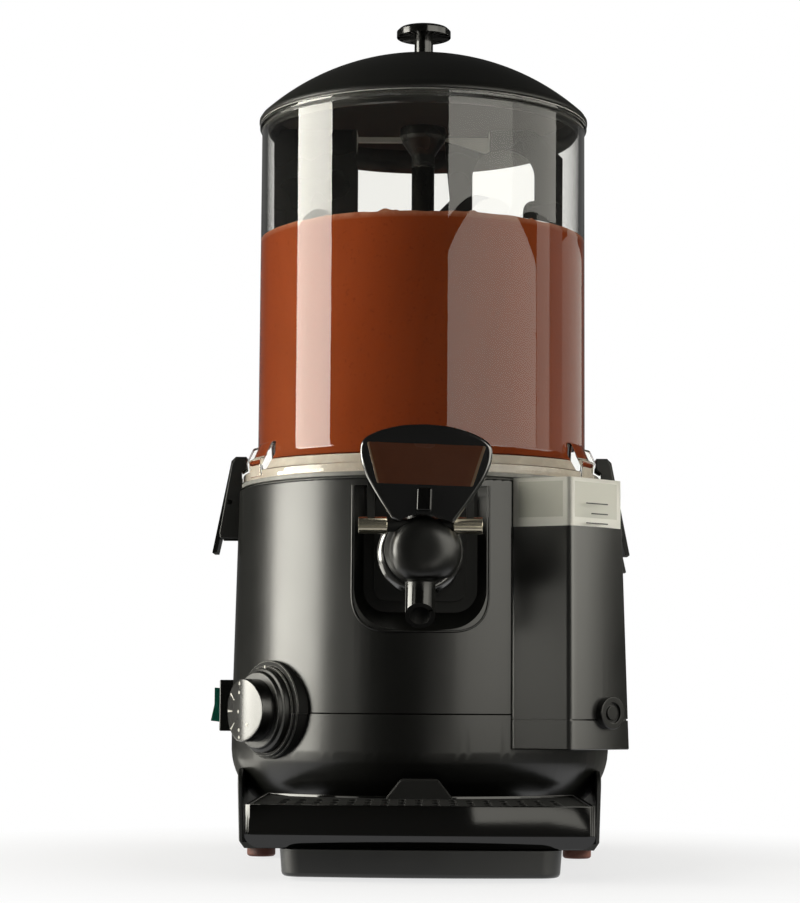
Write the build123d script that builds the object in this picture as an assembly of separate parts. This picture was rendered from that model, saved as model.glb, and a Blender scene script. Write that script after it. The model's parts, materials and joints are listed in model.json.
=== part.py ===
from build123d import *
from math import cos, radians, sin, sqrt
import os

# Hot chocolate dispenser, in millimetres: +Z is up and the front faces -Y.
# Everything is drawn about the bowl axis. Writing a part moves it back by AXIS_BACK, so that the
# written frame has its origin on the floor, in the middle of the whole machine's footprint.
# A bearing is an angle about the bowl axis: 0 faces the front, +90 the right-hand side.
# A front, back or proud value is a distance ahead of the bowl axis or out from a surface.

# Fits and clearances
RUNNING_FIT = 0.05          # radial play of a shaft or pin in its bore
SLIDE_GAP = 0.4             # gap between pieces that slide or swing past each other
STIR_GAP = 0.5              # gap between what turns in the bowl and its walls
SINK = 1.0                  # how far joined shapes are sunk into each other
CUT = 1.0                   # how far a cutter runs past what it cuts
FAR = 1000.0                # longer than the machine, for cutters that run right through

# Bowl
BOWL_R = 114.0
BOWL_H = 256.0
BOWL_WALL = 4.0
BOWL_FLANGE_H = 6.0
BOWL_FLANGE_INSET = 2.5     # edge of the flange inside the casing's radius
BOWL_COVE = 7.0
LUG_INSET = 1.0             # end of the latch lug inside the casing's radius
LUG_HALF = 10.0
LUG_H = 13.5
LUG_RIB_H = 26.5
LUG_RIB_FOOT = 6.0          # reach of the lug's rib out from the bowl, at its foot and its head
LUG_RIB_HEAD = 2.0

# Casing
CASING_STEP = 12.5          # how far the casing stands out from the bowl
CASING_WALL = 3.0
CASING_EDGE = 1.5
LOWER_BOTTOM = 27.0
LOWER_H = 68.0
LOWER_ROUND = 45.0
UPPER_H = 153.0
SEAM_CHAMFER = 0.9
SEAM_LIP = 6.0
SEAM_FIT = 0.1
DECK_W = 9.0
VENT_W = 4.0
VENT_H = 24.0
VENT_DROP = 32.0            # top of the rear vents below the seam
VENT_COUNT = 9
VENT_STEP = 6.0             # degrees between rear vents
VENT_DEPTH = 10.0

# Base
FOOT_H = 6.0
FOOT_R = 9.5
FOOT_CHAMFER = 1.2
FOOT_STUD_R = 4.0
FOOT_SIDE = 16.5            # foot centre in from the side, front and rear of the base
FOOT_AHEAD = 16.0
FOOT_BEHIND = 14.0
BASE_INSET = 2.0            # side walls inside the casing's radius
BASE_FRONT = 62.0
BASE_REAR_INSET = 20.5
BASE_TOP = 58.0
BASE_WALL = 4.0
BASE_CHAMFER = 5.0
BASE_CORNER = 12.0
BASE_EDGE = 0.8
BASE_VENT_R = 42.0
POST_XY = 52.0              # the casing's four posts stand at plus and minus this
POST_R = 7.0
POST_H = 8.0
SCREW_R = 2.0
SCREW_HEAD_R = 4.0
SCREW_HEAD_H = 2.5
SCREW_GRIP = 6.0            # length of screw in its post

# Tray shelf, drip tray and grid
SHELF_HALF = 84.0
SHELF_BOTTOM = 2.0
SHELF_TOP = 15.0
SHELF_AHEAD = 4.0           # front of the shelf ahead of the tray's
SHELF_SKIN = 3.0
SHELF_CORNER = 14.0
SHELF_EDGE = 2.5
SHELF_ROOT = 20.0           # how far the shelf runs back over the base floor
FRONT_BOW = 7.0             # how far the middle of a front edge stands ahead of its ends
TRAY_GAP = 1.5              # gap between the casing and the tray's hollow back
TRAY_LENGTH = 143.0
TRAY_HORN = 64.0            # the tray's side horns end this far ahead of the bowl axis
TRAY_HALF = 103.0
TRAY_TOP = 47.0
TRAY_WALL = 2.5
TRAY_ROUND = 9.0
TRAY_CORNER = 4.0
TRAY_LEDGE = 4.0
GRID_THICK = 2.0
GRID_DROP = 1.5             # top of the grid below the tray's rim
GRID_SLOT_W = 5.0
GRID_SLOT_PITCH = 10.5
GRID_SLOT_ROWS = 3
GRID_BRIDGE = 6.0           # metal left between the rows of slots
GRID_BORDER = 12.0
GRID_TAB_HALF = 23.0        # lifting tab: half width at its foot and at its top
GRID_TAB_TOP_HALF = 12.0
GRID_TAB_H = 9.0
GRID_TAB_THICK = 3.0
GRID_TAB_ROUND = 4.0
GRID_TAB_EDGE = 0.8
GRID_TAB_INSET = 1.5

# Tap pocket in the upper casing
POCKET_HALF = 37.0
POCKET_BELOW = 37.0         # bottom of the pocket below the tap's axis
POCKET_TOP_DROP = 5.0       # top of the pocket below the casing's top
POCKET_CORNER = 15.0
POCKET_DEPTH = 14.5
POCKET_DRAFT = 0.85         # growth of the pocket outline per millimetre towards the front
POCKET_MOUTH = 2.0

# Pot, jacket and heater
SHEET = 1.5
POT_DEPTH = 110.0
POT_ROUND = 12.0
POT_FLANGE_INSET = 4.5
JACKET_INSET = 21.0         # jacket inside the casing's radius
WATER_GAP = 7.5             # water between the pot and the jacket, at the side and below
WATER_UNDER = 18.0
COLUMN_R = 8.0
COLUMN_WALL = 1.5
COLUMN_BELOW_TOP = 29.5     # top of the centre tube below the bowl's top
HEATER_R = 62.0
HEATER_ROD_R = 4.2
HEATER_RISE = 9.0
HEATER_LEG_X = 13.0
HEATER_LEG_DROP = 14.0
HEATER_NUT_R = 8.0
HEATER_NUT_H = 6.0
GASKET_H = 3.0
GASKET_INSET = 1.5

# Chocolate
CHOCOLATE_BELOW_TOP = 82.5

# Lid and knob
LID_OVERHANG = 2.0
LID_RISE = 53.0
LID_BRIM_H = 3.0
LID_WALL = 2.5
LID_SKIRT_H = 9.0
KNOB_RISE = 18.5            # top of the knob above the lid's apex
KNOB_R = 19.2
KNOB_EDGE = 2.0
KNOB_EDGE_H = 3.5
KNOB_DISC_H = 6.5
KNOB_STEM_R = 6.6
KNOB_RIBS = 12
KNOB_RIB_W = 1.6
LID_SCREW_R = 2.5
LID_SCREW_GRIP = 3.0
LID_SCREW_HEAD_R = 5.0
LID_SCREW_HEAD_H = 5.0

# Agitator and shaft
SHAFT_R = 4.5
SHAFT_FLOOR = 2.0           # end of the shaft above the gear case's underside
BUSH_H = 14.0
HUB_GAP = 1.0
HUB_H = 27.0
HUB_TOP_R = 16.5
HUB_RIM_H = 6.0
HUB_CROWN = 1.0             # how far the hub stands above the shaft and the paddles
PADDLE_THICK = 4.0
PADDLE_ARM_H = 7.0
PADDLE_ARM_LAP = 5.0
PADDLE_FLOOR_GAP = 5.5
PADDLE_POT_GAP = 8.5
PADDLE_NECK_RISE = 13.5     # paddles are narrow up to this height in the bowl, to fit the pot
PADDLE_TAPER = 20.0
LEFT_PADDLE_INNER = 46.0
LEFT_PADDLE_GAP = 6.0       # gap between the broad paddle and the bowl
RIGHT_POST = (19.0, 35.0)       # reach of the arched paddle's inner post
RIGHT_PADDLE_GAP = 11.0
RIGHT_RIM_W = 20.0
ARCH_DROP = 15.0
ARCH_FOOT = 14.0
ARCH_CORNER = 18.0
LOBE_DROP = 50.0
LOBE = 8.0
LOBE_FOOT = 10.0
PADDLE_HOLE = (30.0, 46.0)      # width and height of the holes in the broad paddle
PADDLE_HOLES = (44.0, 104.0)    # their heights above the paddle's neck

# Gear motor
GEAR_MODULE = 1.5
BIG_TEETH = 36
SMALL_TEETH = 14
TOOTH_TIP = 1.0             # tooth tip and root about the pitch circle, in modules
TOOTH_ROOT = 1.25
IDLER_ANGLE = 37.0
MOTOR_ANGLE = 143.0
GEAR_H = 8.0
GEAR_LEVEL_GAP = 4.0        # gap between the lower and upper wheels
PINION_EXTRA = 1.0          # a pinion overhangs its wheel by this much
ROOT_SHARE = 0.29           # half tooth widths at root and tip, as shares of the tooth pitch
TIP_SHARE = 0.11
GEARCASE_RISE = 35.0
GEARCASE_WALL = 3.0
GEARCASE_CLEAR = 7.5        # outside of the gear case beyond the wheels
GEARCASE_HEADROOM = 8.0
GEARCASE_CORNER = 14.0
GEARCASE_SCREW_INSET = 7.5
GEARCASE_SCREW_R = 1.6
GEARCASE_SCREW_HEAD_R = 3.2
GEARCASE_SCREW_HEAD_H = 2.4
GEARCASE_SCREW_GRIP = 12.0
GEARCASE_COLUMN_R = 4.2
GEARCASE_POST_R = 5.0
LOW_GEAR_RISE = 10.0
BEARING_WALL = 4.0
BEARING_H = 6.0
AXLE_R = 3.0
AXLE_INSET = 1.0
MOTOR_R = 24.0
MOTOR_H = 26.0
MOTOR_WALL = 2.0
MOTOR_SIDE = 5.0
ROTOR_R = 16.0
ROTOR_GAP = 3.0
ROTOR_SHAFT_R = 2.5

# Tap
TAP_DROP = 50.0             # tap axis below the casing's top
SLEEVE_R = 17.5
SLEEVE_PROUD = 11.0         # end of the pot's sleeve ahead of the tap plate
BARREL_R = 15.0
TAP_GASKET_H = 2.0
TAP_FLANGE_R = 22.0
TAP_FLANGE_H = 5.0
NECK_R = 16.5
NECK_LENGTH = 14.5
RING_R = 28.0
RING_LIP = 8.0
RING_ROUND = 6.0
PLATE_HALF = 30.0
PLATE_BELOW = 30.0
PLATE_ABOVE = 40.0
PLATE_THICK = 3.0
PLATE_CORNER = 8.0
BALL_R = 22.5
BALL_WALL = 4.0
TAP_BORE_R = 9.5
SPOUT_R = 9.5
SPOUT_BORE_R = 6.5
SPOUT_DROP = 26.5           # tip of the spout below the ball
SPOUT_SLANT = 15.0          # height of the slanting mouth
CAP_R = 9.5
CAP_SUNK = 4.5
CAP_RISE = 6.5
CAP_BORE_R = 7.5
CAP_SKIN = 2.5

# Tap handle, pin, plunger
PIN_BELOW = 8.5             # pin below the top of the ball, and behind its front
PIN_BEHIND = 12.0
PIN_R = 4.0
PIN_BEYOND = 16.0           # pin ends beyond the ball's sides
SLEEVE_PIN_R = 5.3
SLEEVE_PIN_LENGTH = 18.0
FINGER_DROP = 9.0           # the pin's lifting fingers hang this far below it
FINGER_R = 1.6
HANDLE_AHEAD = 1.5          # back of the handle ahead of the pin's axis
HANDLE_SUNK = 2.0           # foot of the handle below the top of the ball
HANDLE_H = 57.0
HANDLE_ARCH = 9.5
HANDLE_SIDE_H = 6.0
HANDLE_HALF = 40.5
HANDLE_WAIST_HALF = 30.0
HANDLE_WAIST = 18.0         # height of the waist above the foot
HANDLE_FOOT_HALF = 15.0
HANDLE_THICK = 6.0
HANDLE_CORNER = 5.0
HANDLE_EDGE = 1.2
RIB_HALF = 5.0
RIB_THICK = 4.0
RIB_EDGE = 1.2
RIB_GAP = 1.5
ARM_X = (28.5, 33.0)
ARM_DEPTH = 6.0
ARM_H = 26.0
BADGE_DROP = 2.0            # top of the brown panel below the handle's shoulders
BADGE_H = 26.5
BADGE_TOP_HALF = 37.0
BADGE_BOTTOM_HALF = 29.5
BADGE_THICK = 1.5
BADGE_SUNK = 1.0
PLUNGER_R = 5.0
PLUNGER_TIP_R = 2.0
PLUNGER_TIP = 5.0
PLUNGER_BODY = 6.0
PLUNGER_SHOULDER = 3.0
PLUNGER_COLLAR_R = 6.0
PLUNGER_COLLAR_H = 3.5
PLUNGER_STEM_R = 2.8
PLUNGER_STEM_H = 8.5        # stem above the collar
SEAT_RISE = 4.5             # seat above the bottom of the ball's hollow
SPRING_R = 5.0
SPRING_WIRE_R = 0.5
SPRING_TURNS = 5

# Latches, drawn at the left
LATCH_PIVOT_OUT = 6.0       # pivot out from the casing, and below its top
LATCH_PIVOT_DROP = 8.0
LATCH_PIN_R = 2.0
LATCH_HALF = 11.5
LATCH_THICK = 3.2
LATCH_SHOULDER = 4.0
LATCH_BOSS_R = 4.5
LATCH_TAIL_OUT = 18.0
LATCH_TAIL_DROP = 43.0
HOOK_LAP = 4.0              # reach of the hook over the lug
HOOK_THICK = 5.6
HOOK_OUT = 5.5
HOOK_CHAMFER = 3.0
CHEEK_THICK = 3.0
CHEEK_GAP = 0.5
CHEEK_DROP = 34.0           # bottom and top of the cheeks about the casing's top
CHEEK_RISE = 6.0
CHEEK_OUT = 10.0
CHEEK_NOSE = (3.5, 8.0)
CHEEK_ROOT = 4.0
BRACKET_SKIN = 0.6          # the bracket's back stands out this far at its thinnest
BRACKET_DROP = 3.0
COIL_R = 3.4
COIL_WIRE_R = 0.5
COIL_TURNS = 4
COIL_SLOT_HALF = 5.0
COIL_END_GAP = 1.5

# Thermostat
CONTROL_BEARING = -50.0
CONTROL_RISE = 2.0          # axis above the seam
BEZEL_R = 32.8
BEZEL_STEP_R = 29.5
BEZEL_JOG = 0.9             # the bezel's steps shift by this much where they cross the seam
BEZEL_PROUD = 4.0
BEZEL_STEP_PROUD = 6.5
BEZEL_SEAT = 2.0
BEZEL_DEPTH = 10.0          # the bezel reaches back this far at its sides, where the casing curves away
BEZEL_EDGE = 0.6
BEZEL_RIM = 6.0
DIAL_R = 27.5
DIAL_PROUD = 13.5
DIAL_STEP = 2.0
DIAL_STEP_H = 3.0
DIAL_EDGE = 0.6
GRIP_R = 20.5
GRIP_PROUD = 27.0           # the grip's ridge and its sides, out from the casing
GRIP_SIDE_PROUD = 22.0
GRIP_EDGE = 0.8
CONTROL_SHAFT_R = 3.0
CONTROL_SHAFT_IN = 8.0
CONTROL_SHAFT_SHORT = 4.0
CONTROL_COLLAR = 1.5
CONTROL_BODY_R = 17.0
CONTROL_BODY_H = 30.0
CONTROL_BODY_INSET = 8.5

# Rocker switch, at the left
SWITCH_RISE = 5.0
SWITCH_HALF_Y = 11.0
SWITCH_HALF_Z = 17.5
SWITCH_PROUD = 11.5
SWITCH_EDGE = 1.0
SWITCH_SEAT = 6.0
SWITCH_RIM = 2.0
SWITCH_BODY_HALF_Y = 9.5
SWITCH_BODY_HALF_Z = 14.0
SWITCH_BODY_DEPTH = 26.5
ROCKER_PIVOT_PROUD = 9.0
ROCKER_PIN_END = 1.0
ROCKER_HALF_Z = 11.5
ROCKER_HALF_Y = 7.5
ROCKER_PROUD = 16.5
ROCKER_DISH = 1.2
ROCKER_HEEL = 3.0
ROCKER_PIN_R = 1.5
ROCKER_TILT = 6.0
ROCKER_WELL = 1.5           # floor of the hollow that the rocker swings in, inside the casing's radius

# Water box, on the right of the front
BOX_LEFT = 59.5
BOX_LEFT_INSET = 5.5        # its front left edge inside the casing's radius
BOX_FRONT_X = 96.5
BOX_FRONT_PROUD = 3.0
BOX_SIDE_PROUD = 10.0
BOX_SIDE_FRONT = 96.0
BOX_SIDE_REAR = 70.0
BOX_ROOT_REAR = 56.0
BOX_ROOT_INSET = 14.5
BOX_BELOW_SEAM = 24.0
BOX_TOP_DROP = 31.0
BOX_WALL = 2.5
BOX_FRONT_ROUND = 6.0
BOX_ROUND = 1.8
BOX_EDGE = 1.0
BOX_GROOVE = 1.0
BOX_GROOVE_DROP = 3.0
BOX_TAB_W = 12.0
BOX_TAB_H = 14.0
BOX_TAB_OUT = 2.6
BOX_TAB_DROP = 14.0
TANK_RISE = 4.0             # tank's top above the casing's top
TANK_FLOOR_GAP = 2.0
TANK_WALL = 2.0
TANK_FIT = 0.3
TANK_INSET = 0.8
PIPE_BEARING = 41.0
PIPE_RISE = 30.0            # pipe above the jacket's floor
PIPE_R = 6.0
PIPE_BORE_R = 4.0
PIPE_END = 2.0
PIPE_IN = 3.0
PLUG_ALONG = 0.58           # place of the drain plug along the box's slanting face
PLUG_RISE = 26.0            # plug's axis above the box's underside
PLUG_R = 10.6
PLUG_H = 8.0
PLUG_EDGE = 0.8
PLUG_DISH_R = 6.6
PLUG_DISH = 2.0
PLUG_HUB_R = 4.6
PLUG_HUB_DROP = 0.5
PLUG_STEM_R = 5.0
PLUG_STEM = 11.0
PLUG_BOSS_R = 9.0
PLUG_BOSS = 10.0

# Electrics inside
CUTOUT_XY = (-48.0, 24.0)
CUTOUT_R = 10.0
CUTOUT_H = 9.0
CUTOUT_TAB_X = 4.0
CUTOUT_TAB = (3.0, 1.0, 8.0)
BLOCK_X = (-72.0, -34.0)
BLOCK_Y = (18.0, 34.0)
BLOCK_H = 18.0
BLOCK_WELLS = 3
BLOCK_WELL_R = 3.0
BLOCK_WELL = 6.0
GLAND_DROP = 17.0           # gland below the seam
GLAND_R = 9.0
GLAND_BORE_R = 5.0
GLAND_PROUD = 8.5
GLAND_IN = 8.0
GLAND_NUT_R = 12.0
GLAND_NUT = 5.0

# Worked out from the sizes above
SIDES = (-1, 1)
CASING_R = BOWL_R + CASING_STEP
CASING_INNER = CASING_R - CASING_WALL
SEAM_Z = LOWER_BOTTOM + LOWER_H
CASING_TOP = SEAM_Z + UPPER_H
DECK_HOLE_R = CASING_R - DECK_W
GASKET_Z = CASING_TOP + SHEET
BOWL_BOTTOM = GASKET_Z + GASKET_H
BOWL_TOP = BOWL_BOTTOM + BOWL_H
BOWL_INNER = BOWL_R - BOWL_WALL
LUG_REACH = CASING_R - LUG_INSET
LUG_TOP = BOWL_BOTTOM + LUG_H

BASE_HALF = CASING_R - BASE_INSET
BASE_REAR = CASING_R - BASE_REAR_INSET
TRAY_REAR_R = CASING_R + TRAY_GAP
TRAY_FRONT = TRAY_REAR_R + TRAY_LENGTH
SHELF_FRONT = TRAY_FRONT + SHELF_AHEAD
TRAY_BOTTOM = SHELF_TOP + SLIDE_GAP
GRID_TOP = TRAY_TOP - GRID_DROP
GLAND_REAR = CASING_R + GLAND_PROUD
AXIS_BACK = (SHELF_FRONT - GLAND_REAR) / 2

JACKET_R = CASING_R - JACKET_INSET
POT_R = JACKET_R - WATER_GAP
POT_BOTTOM = CASING_TOP - POT_DEPTH
JACKET_BOTTOM = POT_BOTTOM - WATER_UNDER
POT_FLANGE_R = CASING_R - POT_FLANGE_INSET
HEATER_Z = JACKET_BOTTOM + HEATER_RISE
HEATER_LEG_Y = sqrt(HEATER_R ** 2 - HEATER_LEG_X ** 2)
COLUMN_TOP = BOWL_TOP - COLUMN_BELOW_TOP
CHOCOLATE_TOP = BOWL_TOP - CHOCOLATE_BELOW_TOP

LID_R = BOWL_R + LID_OVERHANG
LID_APEX = BOWL_TOP + LID_RISE
DOME_RISE = LID_RISE - LID_BRIM_H
DOME_R = (LID_R ** 2 + DOME_RISE ** 2) / (2 * DOME_RISE)
KNOB_TOP = LID_APEX + KNOB_RISE
KNOB_HEAD_BOTTOM = KNOB_TOP - KNOB_DISC_H

HUB_BOTTOM = COLUMN_TOP + HUB_GAP
HUB_TOP = HUB_BOTTOM + HUB_H
SHAFT_TOP = HUB_TOP - HUB_CROWN
PADDLE_TOP = HUB_TOP - HUB_CROWN
PADDLE_FOOT = POT_BOTTOM + SHEET + PADDLE_FLOOR_GAP
PADDLE_NECK = BOWL_BOTTOM + PADDLE_NECK_RISE
POT_PADDLE_R = POT_R - SHEET - PADDLE_POT_GAP
LEFT_PADDLE_OUTER = BOWL_INNER - LEFT_PADDLE_GAP
RIGHT_RIM_OUTER = BOWL_INNER - RIGHT_PADDLE_GAP
RIGHT_RIM_INNER = RIGHT_RIM_OUTER - RIGHT_RIM_W

GEAR_CENTRES = GEAR_MODULE * (BIG_TEETH + SMALL_TEETH) / 2
WHEEL_TIP_R = GEAR_MODULE * (BIG_TEETH / 2 + TOOTH_TIP)
IDLER_X = GEAR_CENTRES * cos(radians(IDLER_ANGLE))
IDLER_Y = GEAR_CENTRES * sin(radians(IDLER_ANGLE))
MOTOR_X = IDLER_X + GEAR_CENTRES * cos(radians(MOTOR_ANGLE))
MOTOR_Y = IDLER_Y + GEAR_CENTRES * sin(radians(MOTOR_ANGLE))
GEARCASE_X = (-WHEEL_TIP_R - GEARCASE_CLEAR, IDLER_X + WHEEL_TIP_R + GEARCASE_CLEAR)
GEARCASE_Y = (-WHEEL_TIP_R - GEARCASE_CLEAR, MOTOR_Y + MOTOR_R)
GEARCASE_BOTTOM = LOWER_BOTTOM + GEARCASE_RISE
LOW_GEAR_Z = GEARCASE_BOTTOM + LOW_GEAR_RISE
HIGH_GEAR_Z = LOW_GEAR_Z + GEAR_H + GEAR_LEVEL_GAP
GEARCASE_TOP = HIGH_GEAR_Z + GEAR_H + GEARCASE_HEADROOM
SHAFT_BOTTOM = GEARCASE_BOTTOM + SHAFT_FLOOR
MOTOR_BOTTOM = GEARCASE_BOTTOM - MOTOR_H

TAP_Z = CASING_TOP - TAP_DROP
POCKET_FLOOR = CASING_R - POCKET_DEPTH
POCKET_BOTTOM = TAP_Z - POCKET_BELOW
POCKET_TOP = CASING_TOP - POCKET_TOP_DROP
PLATE_FRONT = POCKET_FLOOR + PLATE_THICK
SLEEVE_FRONT = PLATE_FRONT + SLEEVE_PROUD
TAP_FLANGE_BACK = SLEEVE_FRONT + TAP_GASKET_H
TAP_FLANGE_FRONT = TAP_FLANGE_BACK + TAP_FLANGE_H
RING_FRONT = TAP_FLANGE_FRONT + RING_LIP
BALL_FRONT = RING_FRONT + NECK_LENGTH + BALL_R
BALL_HOLLOW_R = BALL_R - BALL_WALL
BALL_TOP = TAP_Z + BALL_R
SPOUT_BOTTOM = TAP_Z - BALL_R - SPOUT_DROP
SPOUT_LIP = SPOUT_BOTTOM + SPOUT_SLANT
CAP_BOTTOM = BALL_TOP - CAP_SUNK
CAP_TOP = BALL_TOP + CAP_RISE
CAP_CEILING = CAP_TOP - CAP_SKIN
PIN_Z = BALL_TOP - PIN_BELOW
PIN_FRONT = BALL_FRONT + BALL_R - PIN_BEHIND
PIN_HALF = BALL_R + PIN_BEYOND
FINGER_Z = PIN_Z - FINGER_DROP
COLLAR_BOTTOM = FINGER_Z + FINGER_R + SLIDE_GAP
COLLAR_TOP = COLLAR_BOTTOM + PLUNGER_COLLAR_H
SEAT_Z = TAP_Z - BALL_HOLLOW_R + SEAT_RISE
HANDLE_BACK = PIN_FRONT + HANDLE_AHEAD
HANDLE_FRONT = HANDLE_BACK + HANDLE_THICK
HANDLE_FOOT = BALL_TOP - HANDLE_SUNK
HANDLE_TOP = HANDLE_FOOT + HANDLE_H
HANDLE_SHOULDER = HANDLE_TOP - HANDLE_ARCH
BADGE_TOP = HANDLE_SHOULDER - BADGE_DROP
BADGE_BOTTOM = BADGE_TOP - BADGE_H

LATCH_X = -CASING_R - LATCH_PIVOT_OUT
LATCH_Z = CASING_TOP - LATCH_PIVOT_DROP
HOOK_BOTTOM = LUG_TOP + SLIDE_GAP
HOOK_TOP = HOOK_BOTTOM + HOOK_THICK

CONTROL_Z = SEAM_Z + CONTROL_RISE
CONTROL_BODY_FRONT = CASING_R - CONTROL_BODY_INSET
BEZEL_FLOOR = CASING_R + BEZEL_STEP_PROUD - BEZEL_SEAT
DIAL_FRONT = CASING_R + DIAL_PROUD
GRIP_FRONT = CASING_R + GRIP_PROUD
GRIP_SIDE = CASING_R + GRIP_SIDE_PROUD

SWITCH_Z = SEAM_Z + SWITCH_RISE
ROCKER_PIVOT = CASING_R + ROCKER_PIVOT_PROUD
ROCKER_FRONT = CASING_R + ROCKER_PROUD

BOX_PLAN = (
    (BOX_LEFT, BOX_ROOT_INSET - CASING_R), (BOX_LEFT, BOX_LEFT_INSET - CASING_R),
    (BOX_FRONT_X, -CASING_R - BOX_FRONT_PROUD), (CASING_R + BOX_SIDE_PROUD, -BOX_SIDE_FRONT),
    (CASING_R + BOX_SIDE_PROUD, -BOX_SIDE_REAR), (CASING_R - BOX_ROOT_INSET, -BOX_ROOT_REAR),
)
BOX_BOTTOM = SEAM_Z - BOX_BELOW_SEAM
BOX_TOP = CASING_TOP - BOX_TOP_DROP
BOX_GROOVE_Z = SEAM_Z - BOX_GROOVE_DROP
TANK_TOP = CASING_TOP + TANK_RISE
TANK_FLOOR = BOX_BOTTOM + BOX_WALL + TANK_FLOOR_GAP
TANK_OUTER = BOX_WALL + TANK_FIT
TANK_INNER = TANK_OUTER + TANK_WALL
PIPE_Z = JACKET_BOTTOM + PIPE_RISE
PIPE_FRONT = CASING_R + TANK_INNER + PIPE_END
PLUG_Z = BOX_BOTTOM + PLUG_RISE
GLAND_Z = SEAM_Z - GLAND_DROP


def disc(radius, bottom, top):
    """Cylinder about the bowl axis between two heights."""
    return Pos(0, 0, (bottom + top) / 2) * Cylinder(radius, top - bottom)


def core(radius):
    """Cylinder about the bowl axis that is taller than the machine, for cutting."""
    return disc(radius, -FAR, FAR)


def tube(outer, inner, bottom, top):
    """Ring about the bowl axis between two heights."""
    return disc(outer, bottom, top) - core(inner)


def block(x, y, z):
    """Box from a (low, high) pair on each axis."""
    sizes = [high - low for low, high in (x, y, z)]
    middle = [(low + high) / 2 for low, high in (x, y, z)]
    return Pos(*middle) * Box(*sizes)


def rod(start, end, radius):
    """Round bar from one point to another."""
    run = Vector(*end) - Vector(*start)
    return extrude(Plane(origin=start, z_dir=run) * Circle(radius), run.length)


def forward(x, z, back, front, radius):
    """Round bar along the front-to-back direction, between two distances ahead of the bowl axis."""
    return rod((x, -back, z), (x, -front, z), radius)


def crosswise(y, z, low, high, radius):
    """Round bar along X."""
    return rod((low, y, z), (high, y, z), radius)


def turned(points):
    """Solid turned about the bowl axis from (radius, height) points."""
    outline = Polyline(*[(radius, 0, height) for radius, height in points], close=True)
    return revolve(make_face(outline), Axis.Z)


def plan_plate(points, bottom, top):
    """Polygon of (x, y) points carried up between two heights."""
    outline = Polyline(*[(x, y, bottom) for x, y in points], close=True)
    return extrude(make_face(outline), top - bottom, dir=(0, 0, 1))


def side_plate(points, low, high):
    """Polygon of (x, z) points carried along Y between two limits."""
    outline = Polyline(*[(x, low, z) for x, z in points], close=True)
    return extrude(make_face(outline), high - low, dir=(0, 1, 0))


def both_sides(shape):
    """A left-hand or right-hand piece together with its mirror image."""
    return shape + mirror(shape, about=Plane.YZ)


def bowed_plate(half_width, rear, front, bottom, top):
    """Plate with straight sides and a gently bowed front edge; rear and front are ahead of the axis."""
    corner = FRONT_BOW - front
    sides = Polyline((half_width, corner), (half_width, -rear), (-half_width, -rear), (-half_width, corner))
    bow = ThreePointArc((-half_width, corner), (0, -front), (half_width, corner))
    return Pos(0, 0, bottom) * extrude(make_face(sides + bow), top - bottom, dir=(0, 0, 1))


def lower_form(inset):
    """Solid form of the lower casing, made smaller all round by an inset."""
    form = disc(CASING_R - inset, LOWER_BOTTOM + inset, SEAM_Z)
    return fillet(form.edges().sort_by(Axis.Z)[0], LOWER_ROUND - inset)


def vessel_form(radius, bottom, top, inset):
    """Solid form of a round vessel with a rounded floor edge, made smaller by an inset."""
    form = disc(radius - inset, bottom + inset, top)
    return fillet(form.edges().sort_by(Axis.Z)[0], POT_ROUND - inset)


def pot_form(inset):
    """Solid form of the inner pot, made smaller by an inset."""
    return vessel_form(POT_R, POT_BOTTOM, CASING_TOP + SHEET, inset)


def jacket_form(inset):
    """Solid form of the water jacket, made smaller by an inset."""
    return vessel_form(JACKET_R, JACKET_BOTTOM, CASING_TOP, inset)


def pocket_outline(ahead, grow):
    """Outline of the tap pocket on an upright plane ahead of the bowl axis."""
    half = POCKET_HALF + grow
    bottom = POCKET_BOTTOM - grow
    corners = [(-half, POCKET_TOP), (-half, bottom), (half, bottom), (half, POCKET_TOP)]
    outline = Sketch() + make_face(Polyline(*corners, close=True))
    rounded = fillet(outline.vertices().group_by(Axis.Y)[0], POCKET_CORNER + grow)
    return Plane.XZ.offset(ahead) * rounded


def pocket_form(skin):
    """Volume of the tap pocket, with a skin added behind its floor and around its walls."""
    floor = POCKET_FLOOR - skin
    mouth = CASING_R + POCKET_MOUTH
    growth = skin + POCKET_DRAFT * (mouth - floor)
    return loft([pocket_outline(floor, skin), pocket_outline(mouth, growth)])


def post_places():
    """Places of the four posts between the base and the casing."""
    return [(x * POST_XY, y * POST_XY) for x in SIDES for y in SIDES]


def base_screw(x, y):
    """Screw from under the base into the casing's post."""
    head = Pos(x, y, 0) * disc(SCREW_HEAD_R, FOOT_H, FOOT_H + SCREW_HEAD_H)
    shank = Pos(x, y, 0) * disc(SCREW_R, FOOT_H, LOWER_BOTTOM + CASING_WALL + SCREW_GRIP)
    return head + shank


def base_screws():
    """The four screws that hold the casing on the base."""
    return Part() + [base_screw(x, y) for x, y in post_places()]


def foot(x, y):
    """Rubber foot with a stud pressed into the base floor."""
    pad = disc(FOOT_R, 0, FOOT_H)
    pad = chamfer(pad.edges().sort_by(Axis.Z)[0], FOOT_CHAMFER)
    return Pos(x, y, 0) * (pad + disc(FOOT_STUD_R, FOOT_H - SINK, FOOT_H + BASE_WALL))


def feet():
    """The four rubber feet."""
    x = BASE_HALF - FOOT_SIDE
    rows = (FOOT_AHEAD - BASE_FRONT, BASE_REAR - FOOT_BEHIND)
    return Part() + [foot(side * x, y) for side in SIDES for y in rows]


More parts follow.
